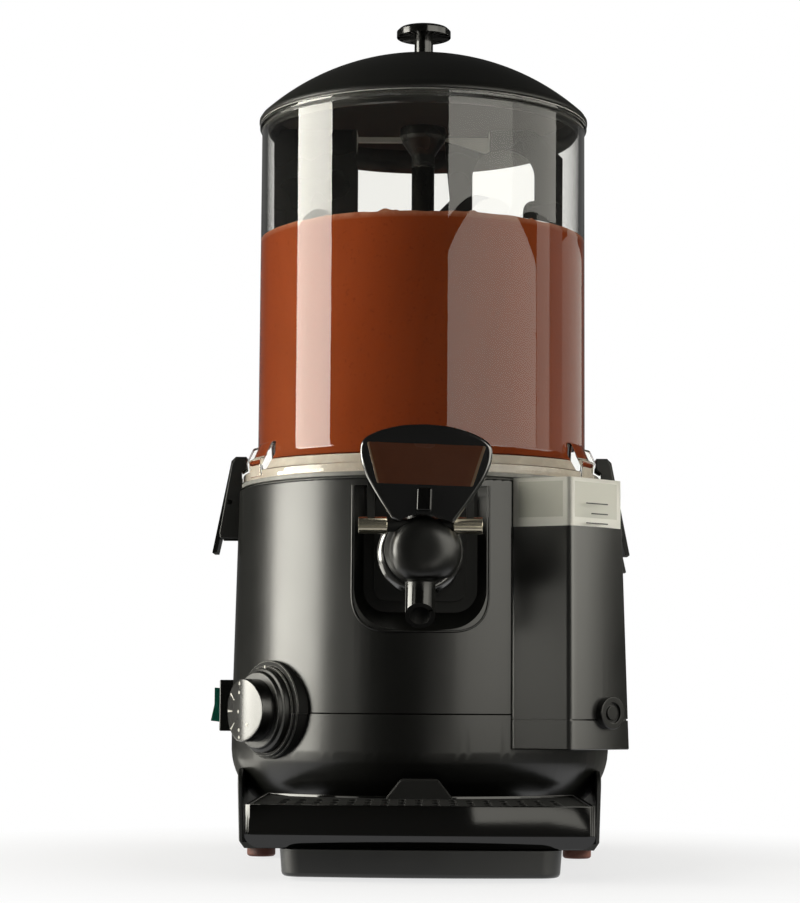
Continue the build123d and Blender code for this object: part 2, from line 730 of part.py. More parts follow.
def tray_shelf():
    """Hollow shelf in front of the base, which the drip tray slides on."""
    shelf = bowed_plate(SHELF_HALF, BASE_FRONT - SHELF_ROOT, SHELF_FRONT, SHELF_BOTTOM, SHELF_TOP)
    front_corners = shelf.edges().filter_by(Axis.Z).group_by(Axis.Y)[0]
    shelf = fillet(front_corners, SHELF_CORNER)
    under = shelf.faces().sort_by(Axis.Z)[0]
    shelf = fillet([edge for edge in under.edges() if edge.center().Y < -BASE_FRONT], SHELF_EDGE)
    inner_half = SHELF_HALF - SHELF_SKIN
    hollow_front = FRONT_BOW + SHELF_CORNER - SHELF_FRONT
    return shelf - block((-inner_half, inner_half), (hollow_front, -BASE_FRONT - SHELF_SKIN),
                         (SHELF_BOTTOM - CUT, SHELF_TOP - SHELF_SKIN))


def base_frame():
    """Base: floor with upright side walls, casing posts and the tray shelf."""
    floor_top = FOOT_H + BASE_WALL
    inner = BASE_HALF - BASE_WALL
    chamfer_x = BASE_HALF - BASE_CHAMFER
    chamfer_z = FOOT_H + BASE_CHAMFER
    section = [
        (-BASE_HALF, BASE_TOP), (-BASE_HALF, chamfer_z), (-chamfer_x, FOOT_H), (chamfer_x, FOOT_H),
        (BASE_HALF, chamfer_z), (BASE_HALF, BASE_TOP), (inner, BASE_TOP), (inner, floor_top),
        (-inner, floor_top), (-inner, BASE_TOP),
    ]
    frame = side_plate(section, -BASE_FRONT, BASE_REAR)
    frame = fillet(frame.edges().filter_by(Axis.X).group_by(Axis.Z)[-1], BASE_CORNER)
    frame = chamfer(frame.edges().filter_by(Axis.Z), BASE_EDGE)
    frame = frame - disc(BASE_VENT_R, 0, floor_top + CUT) + tray_shelf()
    for x, y in post_places():
        frame += Pos(x, y, 0) * disc(POST_R, FOOT_H, LOWER_BOTTOM + SINK)
    return frame - lower_form(0) - feet() - base_screws()


def drip_tray():
    """Drip tray with a basin, a ledge for the grid and a back hollowed round the casing."""
    inner = TRAY_HALF - TRAY_WALL
    inner_front = TRAY_FRONT - TRAY_WALL
    basin_floor = TRAY_BOTTOM + TRAY_WALL
    body = bowed_plate(TRAY_HALF, TRAY_HORN, TRAY_FRONT, TRAY_BOTTOM, TRAY_TOP)
    body = fillet(body.edges().filter_by(Axis.Z).group_by(Axis.Y)[0], TRAY_CORNER)
    body -= core(TRAY_REAR_R)
    under = body.faces().sort_by(Axis.Z)[0]
    body = fillet([edge for edge in under.edges() if edge.center().Y < -TRAY_REAR_R], TRAY_ROUND)
    basin = bowed_plate(inner - TRAY_LEDGE, TRAY_HORN, inner_front - TRAY_LEDGE, basin_floor, TRAY_TOP)
    basin -= core(TRAY_REAR_R + TRAY_WALL + TRAY_LEDGE)
    seat = bowed_plate(inner, TRAY_HORN, inner_front, GRID_TOP - GRID_THICK, TRAY_TOP + CUT)
    seat -= core(TRAY_REAR_R + TRAY_WALL)
    return body - basin - seat


def grid_slots():
    """Rows of slots through the drip grid."""
    front = TRAY_FRONT - FRONT_BOW - TRAY_WALL - GRID_BORDER
    rear = TRAY_REAR_R + TRAY_WALL + GRID_BORDER
    row_pitch = (front - rear) / GRID_SLOT_ROWS
    columns = int((TRAY_HALF - TRAY_WALL - GRID_BORDER) / GRID_SLOT_PITCH)
    slot = extrude(SlotOverall(row_pitch - GRID_BRIDGE, GRID_SLOT_W, rotation=90), GRID_THICK + 2 * CUT)
    bottom = GRID_TOP - GRID_THICK - CUT
    slots = []
    for column in range(-columns, columns + 1):
        for row in range(GRID_SLOT_ROWS):
            slots.append(Pos(column * GRID_SLOT_PITCH, -rear - (row + 0.5) * row_pitch, bottom) * slot)
    return slots


def grid_tab():
    """Upright tab at the back of the grid, to lift it by."""
    rear = TRAY_REAR_R + TRAY_WALL + SLIDE_GAP + GRID_TAB_INSET
    top = GRID_TOP + GRID_TAB_H
    tab = side_plate([
        (-GRID_TAB_HALF, GRID_TOP - SINK), (GRID_TAB_HALF, GRID_TOP - SINK), (GRID_TAB_TOP_HALF, top),
        (-GRID_TAB_TOP_HALF, top),
    ], -rear - GRID_TAB_THICK, -rear)
    tab = fillet(tab.edges().filter_by(Axis.Y).group_by(Axis.Z)[-1], GRID_TAB_ROUND)
    front_face = tab.faces().sort_by(Axis.Y)[0]
    return chamfer([edge for edge in front_face.edges() if edge.center().Z > GRID_TOP], GRID_TAB_EDGE)


def drip_grid():
    """Slotted grid that lies on the tray's ledge, with a lifting tab."""
    edge = TRAY_WALL + SLIDE_GAP
    plate = bowed_plate(TRAY_HALF - edge, TRAY_HORN, TRAY_FRONT - edge, GRID_TOP - GRID_THICK, GRID_TOP)
    return plate - core(TRAY_REAR_R + edge) - grid_slots() + grid_tab()


def control_bar(back, front, radius):
    """Round bar along the thermostat's axis, between two distances from the bowl axis."""
    return Rot(0, 0, CONTROL_BEARING) * forward(0, CONTROL_Z, back, front, radius)


def pipe_bar(back, front, radius):
    """Round bar along the water pipe's axis, between two distances from the bowl axis."""
    return Rot(0, 0, PIPE_BEARING) * forward(0, PIPE_Z, back, front, radius)


def gland_bar(back, rear, radius):
    """Round bar along the cable gland's axis, between two distances behind the bowl axis."""
    return forward(0, GLAND_Z, -back, -rear, radius)


def switch_body_form():
    """Rectangular body of the rocker switch, behind its frame."""
    return block((-CASING_R - SINK, SWITCH_BODY_DEPTH - CASING_R),
                 (-SWITCH_BODY_HALF_Y, SWITCH_BODY_HALF_Y),
                 (SWITCH_Z - SWITCH_BODY_HALF_Z, SWITCH_Z + SWITCH_BODY_HALF_Z))


def wall_cuts():
    """What passes through the casing walls."""
    return [
        forward(0, TAP_Z, POT_R, CASING_R + CUT, SLEEVE_R),
        control_bar(CONTROL_BODY_FRONT - SINK, CASING_R + CUT, CONTROL_SHAFT_R + CONTROL_COLLAR),
        switch_body_form(),
        pipe_bar(JACKET_R, CASING_R + CUT, PIPE_R),
        gland_bar(JACKET_R, GLAND_REAR, GLAND_R),
    ]


def lower_casing():
    """Rounded lower casing with gear case posts, a lip for the upper casing and rear vents."""
    lip_inner = CASING_INNER - CASING_WALL
    lip_outer = CASING_INNER - SEAM_FIT
    root = CASING_R - CASING_WALL / 2
    lip = turned([
        (lip_inner, SEAM_Z - SEAM_LIP), (root, SEAM_Z - SEAM_LIP), (root, SEAM_Z), (lip_outer, SEAM_Z),
        (lip_outer, SEAM_Z + SEAM_LIP), (lip_inner, SEAM_Z + SEAM_LIP),
    ])
    casing = lower_form(0) - lower_form(CASING_WALL) + lip
    floor = LOWER_BOTTOM + CASING_WALL
    for x, y in post_places():
        casing += Pos(x, y, 0) * disc(POST_R, floor - SINK, floor + POST_H)
    for x, y in gearcase_corners():
        casing += Pos(x, y, 0) * disc(GEARCASE_POST_R, floor - SINK, GEARCASE_BOTTOM)
    vent_top = SEAM_Z - VENT_DROP
    vent_y = (-CASING_R - CUT, VENT_DEPTH - CASING_R)
    vent = block((-VENT_W / 2, VENT_W / 2), vent_y, (vent_top - VENT_H, vent_top))
    first = 180 - VENT_STEP * (VENT_COUNT - 1) / 2
    for index in range(VENT_COUNT):
        casing -= Rot(0, 0, first + VENT_STEP * index) * vent
    return casing - wall_cuts() - base_screws() - gearcase_screws()


def upper_casing():
    """Upper casing with its top deck and the drafted pocket for the tap."""
    shell = disc(CASING_R, SEAM_Z, CASING_TOP)
    shell = chamfer(shell.edges().sort_by(Axis.Z)[0], SEAM_CHAMFER)
    shell = fillet(shell.edges().sort_by(Axis.Z)[-1], CASING_EDGE)
    shell -= disc(CASING_INNER, SEAM_Z - CUT, CASING_TOP - CASING_WALL)
    shell -= core(DECK_HOLE_R)
    backing = pocket_form(CASING_WALL) & disc(CASING_R - CASING_WALL / 2, SEAM_Z, CASING_TOP)
    return shell + backing - pocket_form(0) - wall_cuts()


def inner_pot():
    """Steel pot with its flange and the sleeve that carries the tap."""
    pot = pot_form(0) + disc(POT_FLANGE_R, CASING_TOP, CASING_TOP + SHEET)
    pot += forward(0, TAP_Z, POT_R - POT_ROUND, SLEEVE_FRONT, SLEEVE_R)
    bore = forward(0, TAP_Z, 0, SLEEVE_FRONT + CUT, BARREL_R + RUNNING_FIT)
    return pot - pot_form(SHEET) - bore - disc(COLUMN_R, JACKET_BOTTOM, POT_BOTTOM + POT_ROUND)


def water_jacket():
    """Outer vessel of the water bath, welded under the pot's flange."""
    jacket = jacket_form(0) - jacket_form(SHEET)
    jacket += tube(DECK_HOLE_R, JACKET_R - SHEET, CASING_TOP - SHEET, CASING_TOP)
    jacket -= forward(0, TAP_Z, POT_R, SLEEVE_FRONT, SLEEVE_R)
    jacket -= pipe_bar(POT_R, CASING_R, PIPE_R)
    jacket -= disc(COLUMN_R, JACKET_BOTTOM - CUT, POT_BOTTOM)
    return jacket - heater_ring()


def heater_ring():
    """Ring heater in the water, with two legs down through the jacket floor."""
    first = (HEATER_LEG_X, HEATER_LEG_Y, HEATER_Z)
    last = (-HEATER_LEG_X, HEATER_LEG_Y, HEATER_Z)
    arc = ThreePointArc(first, (0, -HEATER_R, HEATER_Z), last)
    ring = sweep(Plane(origin=arc @ 0, z_dir=arc % 0) * Circle(HEATER_ROD_R), path=arc)
    for x, y, z in (first, last):
        ring += Pos(x, y, z) * Sphere(HEATER_ROD_R)
        ring += rod((x, y, z), (x, y, JACKET_BOTTOM - HEATER_LEG_DROP), HEATER_ROD_R)
    return ring


def heater_nuts():
    """Gland nuts that hold the heater's legs in the jacket floor."""
    nut = extrude(RegularPolygon(HEATER_NUT_R, 6), HEATER_NUT_H)
    places = [Pos(side * HEATER_LEG_X, HEATER_LEG_Y, JACKET_BOTTOM - HEATER_NUT_H) for side in SIDES]
    return Part() + [place * nut - heater_ring() for place in places]


def centre_tube():
    """Steel tube up the middle of the bowl, which keeps the shaft dry."""
    return tube(COLUMN_R, COLUMN_R - COLUMN_WALL, JACKET_BOTTOM, COLUMN_TOP)


def shaft_bushes():
    """Bushes at the two ends of the centre tube."""
    bush = tube(COLUMN_R - COLUMN_WALL, SHAFT_R + RUNNING_FIT, 0, BUSH_H)
    return Part() + [Pos(0, 0, JACKET_BOTTOM) * bush, Pos(0, 0, COLUMN_TOP - BUSH_H) * bush]


def bowl_gasket():
    """Grey ring between the pot's flange and the bowl."""
    return tube(CASING_R - GASKET_INSET, BOWL_INNER, GASKET_Z, BOWL_BOTTOM)


def bowl():
    """Clear bowl with a bottom flange and a latch lug at each side."""
    flange_r = CASING_R - BOWL_FLANGE_INSET
    flange_top = BOWL_BOTTOM + BOWL_FLANGE_H
    wall = turned([
        (BOWL_INNER, BOWL_BOTTOM), (flange_r, BOWL_BOTTOM), (flange_r, flange_top),
        (BOWL_R + BOWL_COVE, flange_top), (BOWL_R, flange_top + BOWL_COVE), (BOWL_R, BOWL_TOP),
        (BOWL_INNER, BOWL_TOP),
    ])
    middle = BOWL_R - BOWL_WALL / 2
    rib_top = BOWL_BOTTOM + LUG_RIB_H
    lug = side_plate([
        (middle, BOWL_BOTTOM), (LUG_REACH, BOWL_BOTTOM), (LUG_REACH, LUG_TOP),
        (BOWL_R + LUG_RIB_FOOT, LUG_TOP), (BOWL_R + LUG_RIB_HEAD, rib_top), (middle, rib_top),
    ], -LUG_HALF, LUG_HALF)
    return wall + both_sides(lug - core(middle - SINK))


def dome_point(reach, inset):
    """Point in the XZ plane on the dome, or under it by an inset, at a distance from the bowl axis."""
    return reach, 0, LID_APEX - DOME_R + sqrt((DOME_R - inset) ** 2 - reach ** 2)


def dome_arc(start, end, inset):
    """Arc along the dome, or under it by an inset, between two distances from the bowl axis."""
    middle = (start + end) / 2
    return ThreePointArc(dome_point(start, inset), dome_point(middle, inset), dome_point(end, inset))


def lid_dome(inset):
    """Ball that the lid's dome is part of, made smaller by an inset."""
    return Pos(0, 0, LID_APEX - DOME_R) * Sphere(DOME_R - inset)


def lid():
    """Domed lid with a brim on the bowl's edge and a skirt inside it."""
    skirt_r = BOWL_INNER - STIR_GAP
    inner_r = skirt_r - LID_WALL
    skirt_bottom = BOWL_TOP - LID_SKIRT_H
    dome = dome_arc(LID_SCREW_R, LID_R, 0)
    under = dome_arc(inner_r, LID_SCREW_R, LID_WALL)
    rim = Polyline(dome @ 1, (LID_R, 0, BOWL_TOP), (skirt_r, 0, BOWL_TOP), (skirt_r, 0, skirt_bottom),
                   (inner_r, 0, skirt_bottom), under @ 0)
    return revolve(make_face(Curve() + [dome, rim, under, Line(under @ 1, dome @ 0)]), Axis.Z)


def lid_knob():
    """Mushroom knob with ribs under its head."""
    knob = turned([
        (0, KNOB_HEAD_BOTTOM), (KNOB_STEM_R, KNOB_HEAD_BOTTOM), (KNOB_R, KNOB_TOP - KNOB_EDGE_H),
        (KNOB_R, KNOB_TOP - KNOB_EDGE), (KNOB_R - KNOB_EDGE, KNOB_TOP), (0, KNOB_TOP),
    ])
    knob += disc(KNOB_STEM_R, LID_APEX - LID_WALL, KNOB_HEAD_BOTTOM + SINK) - lid_dome(0)
    rib = block((KNOB_STEM_R - SINK, KNOB_R - KNOB_EDGE), (-KNOB_RIB_W / 2, KNOB_RIB_W / 2),
                (KNOB_HEAD_BOTTOM, KNOB_TOP - KNOB_EDGE))
    for index in range(KNOB_RIBS):
        knob += Rot(0, 0, 360 * index / KNOB_RIBS) * rib
    return knob - lid_screw()


def lid_screw():
    """Screw up through the lid into the knob."""
    head_top = LID_APEX - LID_WALL
    shank = disc(LID_SCREW_R, head_top - LID_SCREW_HEAD_H / 2, KNOB_HEAD_BOTTOM + LID_SCREW_GRIP)
    head = disc(LID_SCREW_HEAD_R, head_top - LID_SCREW_HEAD_H, head_top) & lid_dome(LID_WALL)
    return shank + head


def drive_shaft():
    """Shaft from the gear case up through the centre tube."""
    return disc(SHAFT_R, SHAFT_BOTTOM, SHAFT_TOP)


def agitator_hub():
    """Cone on top of the shaft, which carries the paddles."""
    rim_bottom = HUB_TOP - HUB_RIM_H
    cone = turned([
        (0, HUB_BOTTOM), (COLUMN_R, HUB_BOTTOM), (HUB_TOP_R, rim_bottom), (HUB_TOP_R, HUB_TOP),
        (0, HUB_TOP),
    ])
    return cone - drive_shaft()


def paddle_slice(points):
    """Upright paddle blade from (x, z) points, in the middle plane of the bowl."""
    return side_plate(points, -PADDLE_THICK / 2, PADDLE_THICK / 2)


def left_paddle():
    """Broad paddle with holes, on an arm from the hub."""
    inner, outer = LEFT_PADDLE_INNER, LEFT_PADDLE_OUTER
    blade = paddle_slice([
        (-inner, PADDLE_FOOT), (-POT_PADDLE_R, PADDLE_FOOT), (-POT_PADDLE_R, PADDLE_NECK - PADDLE_TAPER),
        (-outer, PADDLE_NECK), (-outer, PADDLE_TOP - PADDLE_TAPER), (PADDLE_TAPER - outer, PADDLE_TOP),
        (-inner, PADDLE_TOP),
    ])
    thick = (-PADDLE_THICK / 2, PADDLE_THICK / 2)
    blade += block((-inner - PADDLE_ARM_LAP, 0), thick, (PADDLE_TOP - PADDLE_ARM_H, PADDLE_TOP))
    width, height = PADDLE_HOLE
    middle = (inner + outer) / 2
    hole = Pos(-middle, 0, PADDLE_NECK) * Box(width, PADDLE_THICK + 2 * CUT, height)
    blade -= [Pos(0, 0, rise) * hole for rise in PADDLE_HOLES]
    return blade - agitator_hub() - drive_shaft()


def right_paddle():
    """Arched paddle: two posts with lobes below an arch, on an arm from the hub."""
    post_in, post_out = RIGHT_POST
    rim_in, rim_out = RIGHT_RIM_INNER, RIGHT_RIM_OUTER
    arm_bottom = PADDLE_TOP - PADDLE_ARM_H
    lobe_top = PADDLE_TOP - LOBE_DROP
    blade = paddle_slice([
        (post_in, PADDLE_FOOT), (POT_PADDLE_R, PADDLE_FOOT), (POT_PADDLE_R, PADDLE_NECK - PADDLE_TAPER),
        (rim_out, PADDLE_NECK), (rim_out, PADDLE_TOP - PADDLE_TAPER), (rim_out - PADDLE_TAPER, PADDLE_TOP),
        (0, PADDLE_TOP), (0, arm_bottom), (post_in, arm_bottom), (post_in, lobe_top),
        (post_in - LOBE, lobe_top - LOBE), (post_in - LOBE, PADDLE_NECK), (post_in, PADDLE_NECK - LOBE),
    ])
    window_z = (PADDLE_NECK + ARCH_FOOT, PADDLE_TOP - ARCH_DROP)
    window = block((post_out, rim_in), (-PADDLE_THICK, PADDLE_THICK), window_z)
    window = fillet(window.edges().filter_by(Axis.Y).group_by(Axis.Z)[-1], ARCH_CORNER)
    lobe_z = (PADDLE_NECK + LOBE_FOOT, lobe_top)
    lobe = block((rim_in - LOBE, rim_in + SINK), (-PADDLE_THICK / 2, PADDLE_THICK / 2), lobe_z)
    lobe = fillet(lobe.edges().filter_by(Axis.Y).sort_by(Axis.X)[:2].sort_by(Axis.Z)[-1], LOBE - SINK)
    return blade - window + lobe - agitator_hub() - drive_shaft()


def chocolate():
    """Hot chocolate that turns with the agitator: it fills the pot and most of the bowl."""
    in_bowl = disc(BOWL_INNER - STIR_GAP, GASKET_Z + STIR_GAP, CHOCOLATE_TOP)
    in_pot = vessel_form(POT_R, POT_BOTTOM, CHOCOLATE_TOP - SINK, SHEET + STIR_GAP)
    return in_pot + in_bowl - core(COLUMN_R + STIR_GAP) - left_paddle() - right_paddle()


def gear(teeth, phase, bottom, top):
    """Spur gear about Z with straight-sided teeth, one of them at the phase angle."""
    root_r = GEAR_MODULE * (teeth / 2 - TOOTH_ROOT)
    tip_r = GEAR_MODULE * (teeth / 2 + TOOTH_TIP)
    corners = ((root_r, -ROOT_SHARE), (tip_r, -TIP_SHARE), (tip_r, TIP_SHARE), (root_r, ROOT_SHARE))
    points = []
    for tooth in range(teeth):
        for radius, share in corners:
            angle = radians(phase + (tooth + share) * 360 / teeth)
            points.append((radius * cos(angle), radius * sin(angle)))
    return plan_plate(points, bottom, top)


def gap_phase(angle):
    """Phase of a pinion whose tooth gap faces back along a line of centres."""
    return angle + 180 + 180 / SMALL_TEETH


def at_idler(shape):
    """Shape moved from the bowl axis to the idler's axis."""
    return Pos(IDLER_X, IDLER_Y, 0) * shape


def at_motor(shape):
    """Shape moved from the bowl axis to the motor's axis."""
    return Pos(MOTOR_X, MOTOR_Y, 0) * shape


def output_gear():
    """Gear on the drive shaft."""
    return gear(BIG_TEETH, IDLER_ANGLE, HIGH_GEAR_Z, HIGH_GEAR_Z + GEAR_H) - drive_shaft()


def idler_gear():
    """Wheel driven by the motor, with the pinion that drives the output gear."""
    wheel_top = LOW_GEAR_Z + GEAR_H
    wheel = gear(BIG_TEETH, MOTOR_ANGLE, LOW_GEAR_Z, wheel_top)
    pinion_top = HIGH_GEAR_Z + GEAR_H + PINION_EXTRA
    pinion = gear(SMALL_TEETH, gap_phase(IDLER_ANGLE), wheel_top - SINK, pinion_top)
    return at_idler(wheel + pinion - core(AXLE_R + RUNNING_FIT))


def idler_axle():
    """Fixed axle of the idler gear, held in the gear case and its cover."""
    return at_idler(disc(AXLE_R, GEARCASE_BOTTOM + AXLE_INSET, GEARCASE_TOP - AXLE_INSET))


def rotor_shaft():
    """Motor shaft from the can's bottom up to the pinion."""
    return at_motor(disc(ROTOR_SHAFT_R, MOTOR_BOTTOM + MOTOR_WALL / 2, LOW_GEAR_Z + GEAR_H + PINION_EXTRA))


def motor_rotor():
    """Rotor of the motor with its shaft."""
    core_bottom = MOTOR_BOTTOM + MOTOR_WALL + ROTOR_GAP
    return at_motor(disc(ROTOR_R, core_bottom, GEARCASE_BOTTOM - ROTOR_GAP)) + rotor_shaft()


def motor_pinion():
    """Pinion on the motor shaft."""
    low = LOW_GEAR_Z - PINION_EXTRA
    high = LOW_GEAR_Z + GEAR_H + PINION_EXTRA
    return at_motor(gear(SMALL_TEETH, gap_phase(MOTOR_ANGLE), low, high)) - rotor_shaft()


def motor_can():
    """Closed can of the motor under the gear case."""
    can = disc(MOTOR_R, MOTOR_BOTTOM, GEARCASE_BOTTOM)
    can -= disc(MOTOR_R - MOTOR_SIDE, MOTOR_BOTTOM + MOTOR_WALL, GEARCASE_BOTTOM + CUT)
    can -= disc(ROTOR_SHAFT_R + RUNNING_FIT, MOTOR_BOTTOM + MOTOR_WALL / 2, GEARCASE_BOTTOM)
    return at_motor(can)


def gearcase_corners():
    """Places of the gear case screws."""
    x_places = (GEARCASE_X[0] + GEARCASE_SCREW_INSET, GEARCASE_X[1] - GEARCASE_SCREW_INSET)
    y_places = (GEARCASE_Y[0] + GEARCASE_SCREW_INSET, GEARCASE_Y[1] - GEARCASE_SCREW_INSET)
    return [(x, y) for x in x_places for y in y_places]


def gearcase_form(inset, bottom, top):
    """Rounded box of the gear case, made smaller by an inset."""
    x = (GEARCASE_X[0] + inset, GEARCASE_X[1] - inset)
    y = (GEARCASE_Y[0] + inset, GEARCASE_Y[1] - inset)
    form = block(x, y, (bottom, top))
    return fillet(form.edges().filter_by(Axis.Z), GEARCASE_CORNER - inset)


def gearcase_screws():
    """Screws through the gear case into the casing's posts."""
    screw = disc(GEARCASE_SCREW_R, GEARCASE_BOTTOM - GEARCASE_SCREW_GRIP, GEARCASE_TOP)
    screw += disc(GEARCASE_SCREW_HEAD_R, GEARCASE_TOP, GEARCASE_TOP + GEARCASE_SCREW_HEAD_H)
    return Part() + [Pos(x, y, 0) * screw for x, y in gearcase_corners()]


def gear_case():
    """Lower half of the gear case, with screw columns in its corners and the shaft's foot bearing."""
    cover_bottom = GEARCASE_TOP - GEARCASE_WALL
    case = gearcase_form(0, GEARCASE_BOTTOM, cover_bottom)
    case -= gearcase_form(GEARCASE_WALL, GEARCASE_BOTTOM + GEARCASE_WALL, cover_bottom + CUT)
    for x, y in gearcase_corners():
        case += Pos(x, y, 0) * disc(GEARCASE_COLUMN_R, GEARCASE_BOTTOM, cover_bottom)
    case += disc(SHAFT_R + BEARING_WALL, GEARCASE_BOTTOM, LOW_GEAR_Z - PINION_EXTRA)
    case -= disc(SHAFT_R + RUNNING_FIT, SHAFT_BOTTOM, GEARCASE_TOP)
    case -= at_motor(disc(ROTOR_SHAFT_R + RUNNING_FIT, GEARCASE_BOTTOM - CUT, GEARCASE_TOP))
    return case - gearcase_screws() - idler_axle()


def gear_cover():
    """Cover of the gear case, with the upper bearing of the shaft."""
    cover = gearcase_form(0, GEARCASE_TOP - GEARCASE_WALL, GEARCASE_TOP)
    cover += disc(SHAFT_R + BEARING_WALL, GEARCASE_TOP - SINK, GEARCASE_TOP + BEARING_H)
    return cover - core(SHAFT_R + RUNNING_FIT) - gearcase_screws() - idler_axle()


def tap_plate():
    """Plate on the pocket floor behind the tap."""
    plate = block((-PLATE_HALF, PLATE_HALF), (-PLATE_FRONT, -POCKET_FLOOR),
                  (TAP_Z - PLATE_BELOW, TAP_Z + PLATE_ABOVE))
    plate = fillet(plate.edges().filter_by(Axis.Y), PLATE_CORNER)
    return plate - forward(0, TAP_Z, 0, SLEEVE_FRONT, SLEEVE_R)


def tap_gasket():
    """Flat ring between the pot's sleeve and the tap."""
    ring = forward(0, TAP_Z, SLEEVE_FRONT, TAP_FLANGE_BACK, SLEEVE_R)
    return ring - forward(0, TAP_Z, 0, TAP_FLANGE_BACK + CUT, BARREL_R)


def tap_ring():
    """Ring nut that clamps the tap on the pot's sleeve."""
    ring = forward(0, TAP_Z, PLATE_FRONT, RING_FRONT, RING_R)
    ring = fillet(ring.edges().sort_by(Axis.Y)[0], RING_ROUND)
    ring -= forward(0, TAP_Z, PLATE_FRONT - CUT, SLEEVE_FRONT, SLEEVE_R)
    ring -= forward(0, TAP_Z, SLEEVE_FRONT, TAP_FLANGE_FRONT, TAP_FLANGE_R)
    return ring - forward(0, TAP_Z, PLATE_FRONT, RING_FRONT + CUT, NECK_R)


def at_ball(shape):
    """Shape moved from the bowl axis to the upright axis of the tap's ball."""
    return Pos(0, -BALL_FRONT, 0) * shape


def ball_form(radius):
    """Ball of the tap."""
    return Pos(0, -BALL_FRONT, TAP_Z) * Sphere(radius)


def spout_form(radius):
    """Upright round form of the spout under the ball."""
    return at_ball(disc(radius, SPOUT_BOTTOM - CUT, TAP_Z))


def spout_cutter():
    """Wedge under the slanting mouth of the spout, which opens to the front."""
    reach = SPOUT_R + CUT
    rise = SPOUT_SLANT * CUT / (2 * SPOUT_R)
    points = [
        (reach, SPOUT_BOTTOM - rise), (-reach, SPOUT_LIP + rise), (-reach, SPOUT_BOTTOM - SPOUT_SLANT),
        (reach, SPOUT_BOTTOM - SPOUT_SLANT),
    ]
    outline = Polyline(*[(-reach, y, z) for y, z in points], close=True)
    return at_ball(extrude(make_face(outline), 2 * reach, dir=(1, 0, 0)))


def tap_body():
    """Tap with its barrel, hollow ball and slant-mouthed spout."""
    body = forward(0, TAP_Z, POT_R - POT_ROUND, TAP_FLANGE_BACK + SINK, BARREL_R) - pot_form(SHEET)
    body += forward(0, TAP_Z, TAP_FLANGE_BACK, TAP_FLANGE_FRONT, TAP_FLANGE_R)
    body += forward(0, TAP_Z, TAP_FLANGE_BACK, BALL_FRONT, NECK_R)
    body += ball_form(BALL_R)
    body += spout_form(SPOUT_R)
    body -= spout_cutter()
    body -= ball_form(BALL_HOLLOW_R)
    body -= forward(0, TAP_Z, 0, BALL_FRONT, TAP_BORE_R)
    body -= spout_form(SPOUT_BORE_R)
    body -= at_ball(disc(CAP_BORE_R, TAP_Z, BALL_TOP + CUT))
    return body - tap_cap_form() - crosswise(-PIN_FRONT, PIN_Z, -BALL_R, BALL_R, PIN_R + RUNNING_FIT)


def tap_cap_form():
    """Outer form of the cap on top of the ball."""
    return at_ball(disc(CAP_R, CAP_BOTTOM, CAP_TOP))


def tap_cap():
    """Cap on top of the ball, which holds the plunger's spring."""
    cap = tap_cap_form() - at_ball(disc(CAP_BORE_R, CAP_BOTTOM - CUT, CAP_CEILING))
    return cap - crosswise(-PIN_FRONT, PIN_Z, -BALL_R, BALL_R, PIN_R + SLIDE_GAP)


def tap_plunger():
    """Plunger that closes the spout, with the collar that the fingers lift."""
    tip = SEAT_Z - PLUNGER_TIP
    body_top = SEAT_Z + PLUNGER_BODY
    stem_top = COLLAR_TOP + PLUNGER_STEM_H
    return at_ball(turned([
        (0, tip), (PLUNGER_TIP_R, tip), (PLUNGER_R, SEAT_Z), (PLUNGER_R, body_top),
        (PLUNGER_STEM_R, body_top + PLUNGER_SHOULDER), (PLUNGER_STEM_R, COLLAR_BOTTOM),
        (PLUNGER_COLLAR_R, COLLAR_BOTTOM), (PLUNGER_COLLAR_R, COLLAR_TOP), (PLUNGER_STEM_R, COLLAR_TOP),
        (PLUNGER_STEM_R, stem_top), (0, stem_top),
    ]))


def coil(radius, wire_r, height, turns):
    """Open coil of round wire about Z, starting at the origin's height."""
    path = Helix(pitch=height / turns, height=height, radius=radius)
    return sweep(Plane(origin=path @ 0, z_dir=path % 0) * Circle(wire_r), path=path)


def plunger_spring():
    """Spring between the plunger's collar and the cap."""
    low = COLLAR_TOP + 2 * SPRING_WIRE_R
    high = CAP_CEILING - 2 * SPRING_WIRE_R
    return Pos(0, -BALL_FRONT, low) * coil(SPRING_R, SPRING_WIRE_R, high - low, SPRING_TURNS)


def tap_pin():
    """Cross pin of the handle, with two bent fingers that lift the plunger by its collar."""
    pin = crosswise(-PIN_FRONT, PIN_Z, -PIN_HALF, PIN_HALF, PIN_R)
    for side in SIDES:
        x = side * (PLUNGER_STEM_R + SLIDE_GAP + FINGER_R)
        bend = (x, -PIN_FRONT, FINGER_Z)
        tip = (x, -BALL_FRONT, FINGER_Z)
        pin += rod((x, -PIN_FRONT, PIN_Z), bend, FINGER_R) + rod(bend, tip, FINGER_R)
        pin += Pos(*bend) * Sphere(FINGER_R) + Pos(*tip) * Sphere(FINGER_R)
    return pin


def pin_sleeves():
    """Bright sleeves on the ends of the cross pin."""
    sleeve = crosswise(-PIN_FRONT, PIN_Z, PIN_HALF - SLEEVE_PIN_LENGTH, PIN_HALF, SLEEVE_PIN_R)
    return both_sides(sleeve - crosswise(-PIN_FRONT, PIN_Z, 0, PIN_HALF + CUT, PIN_R))


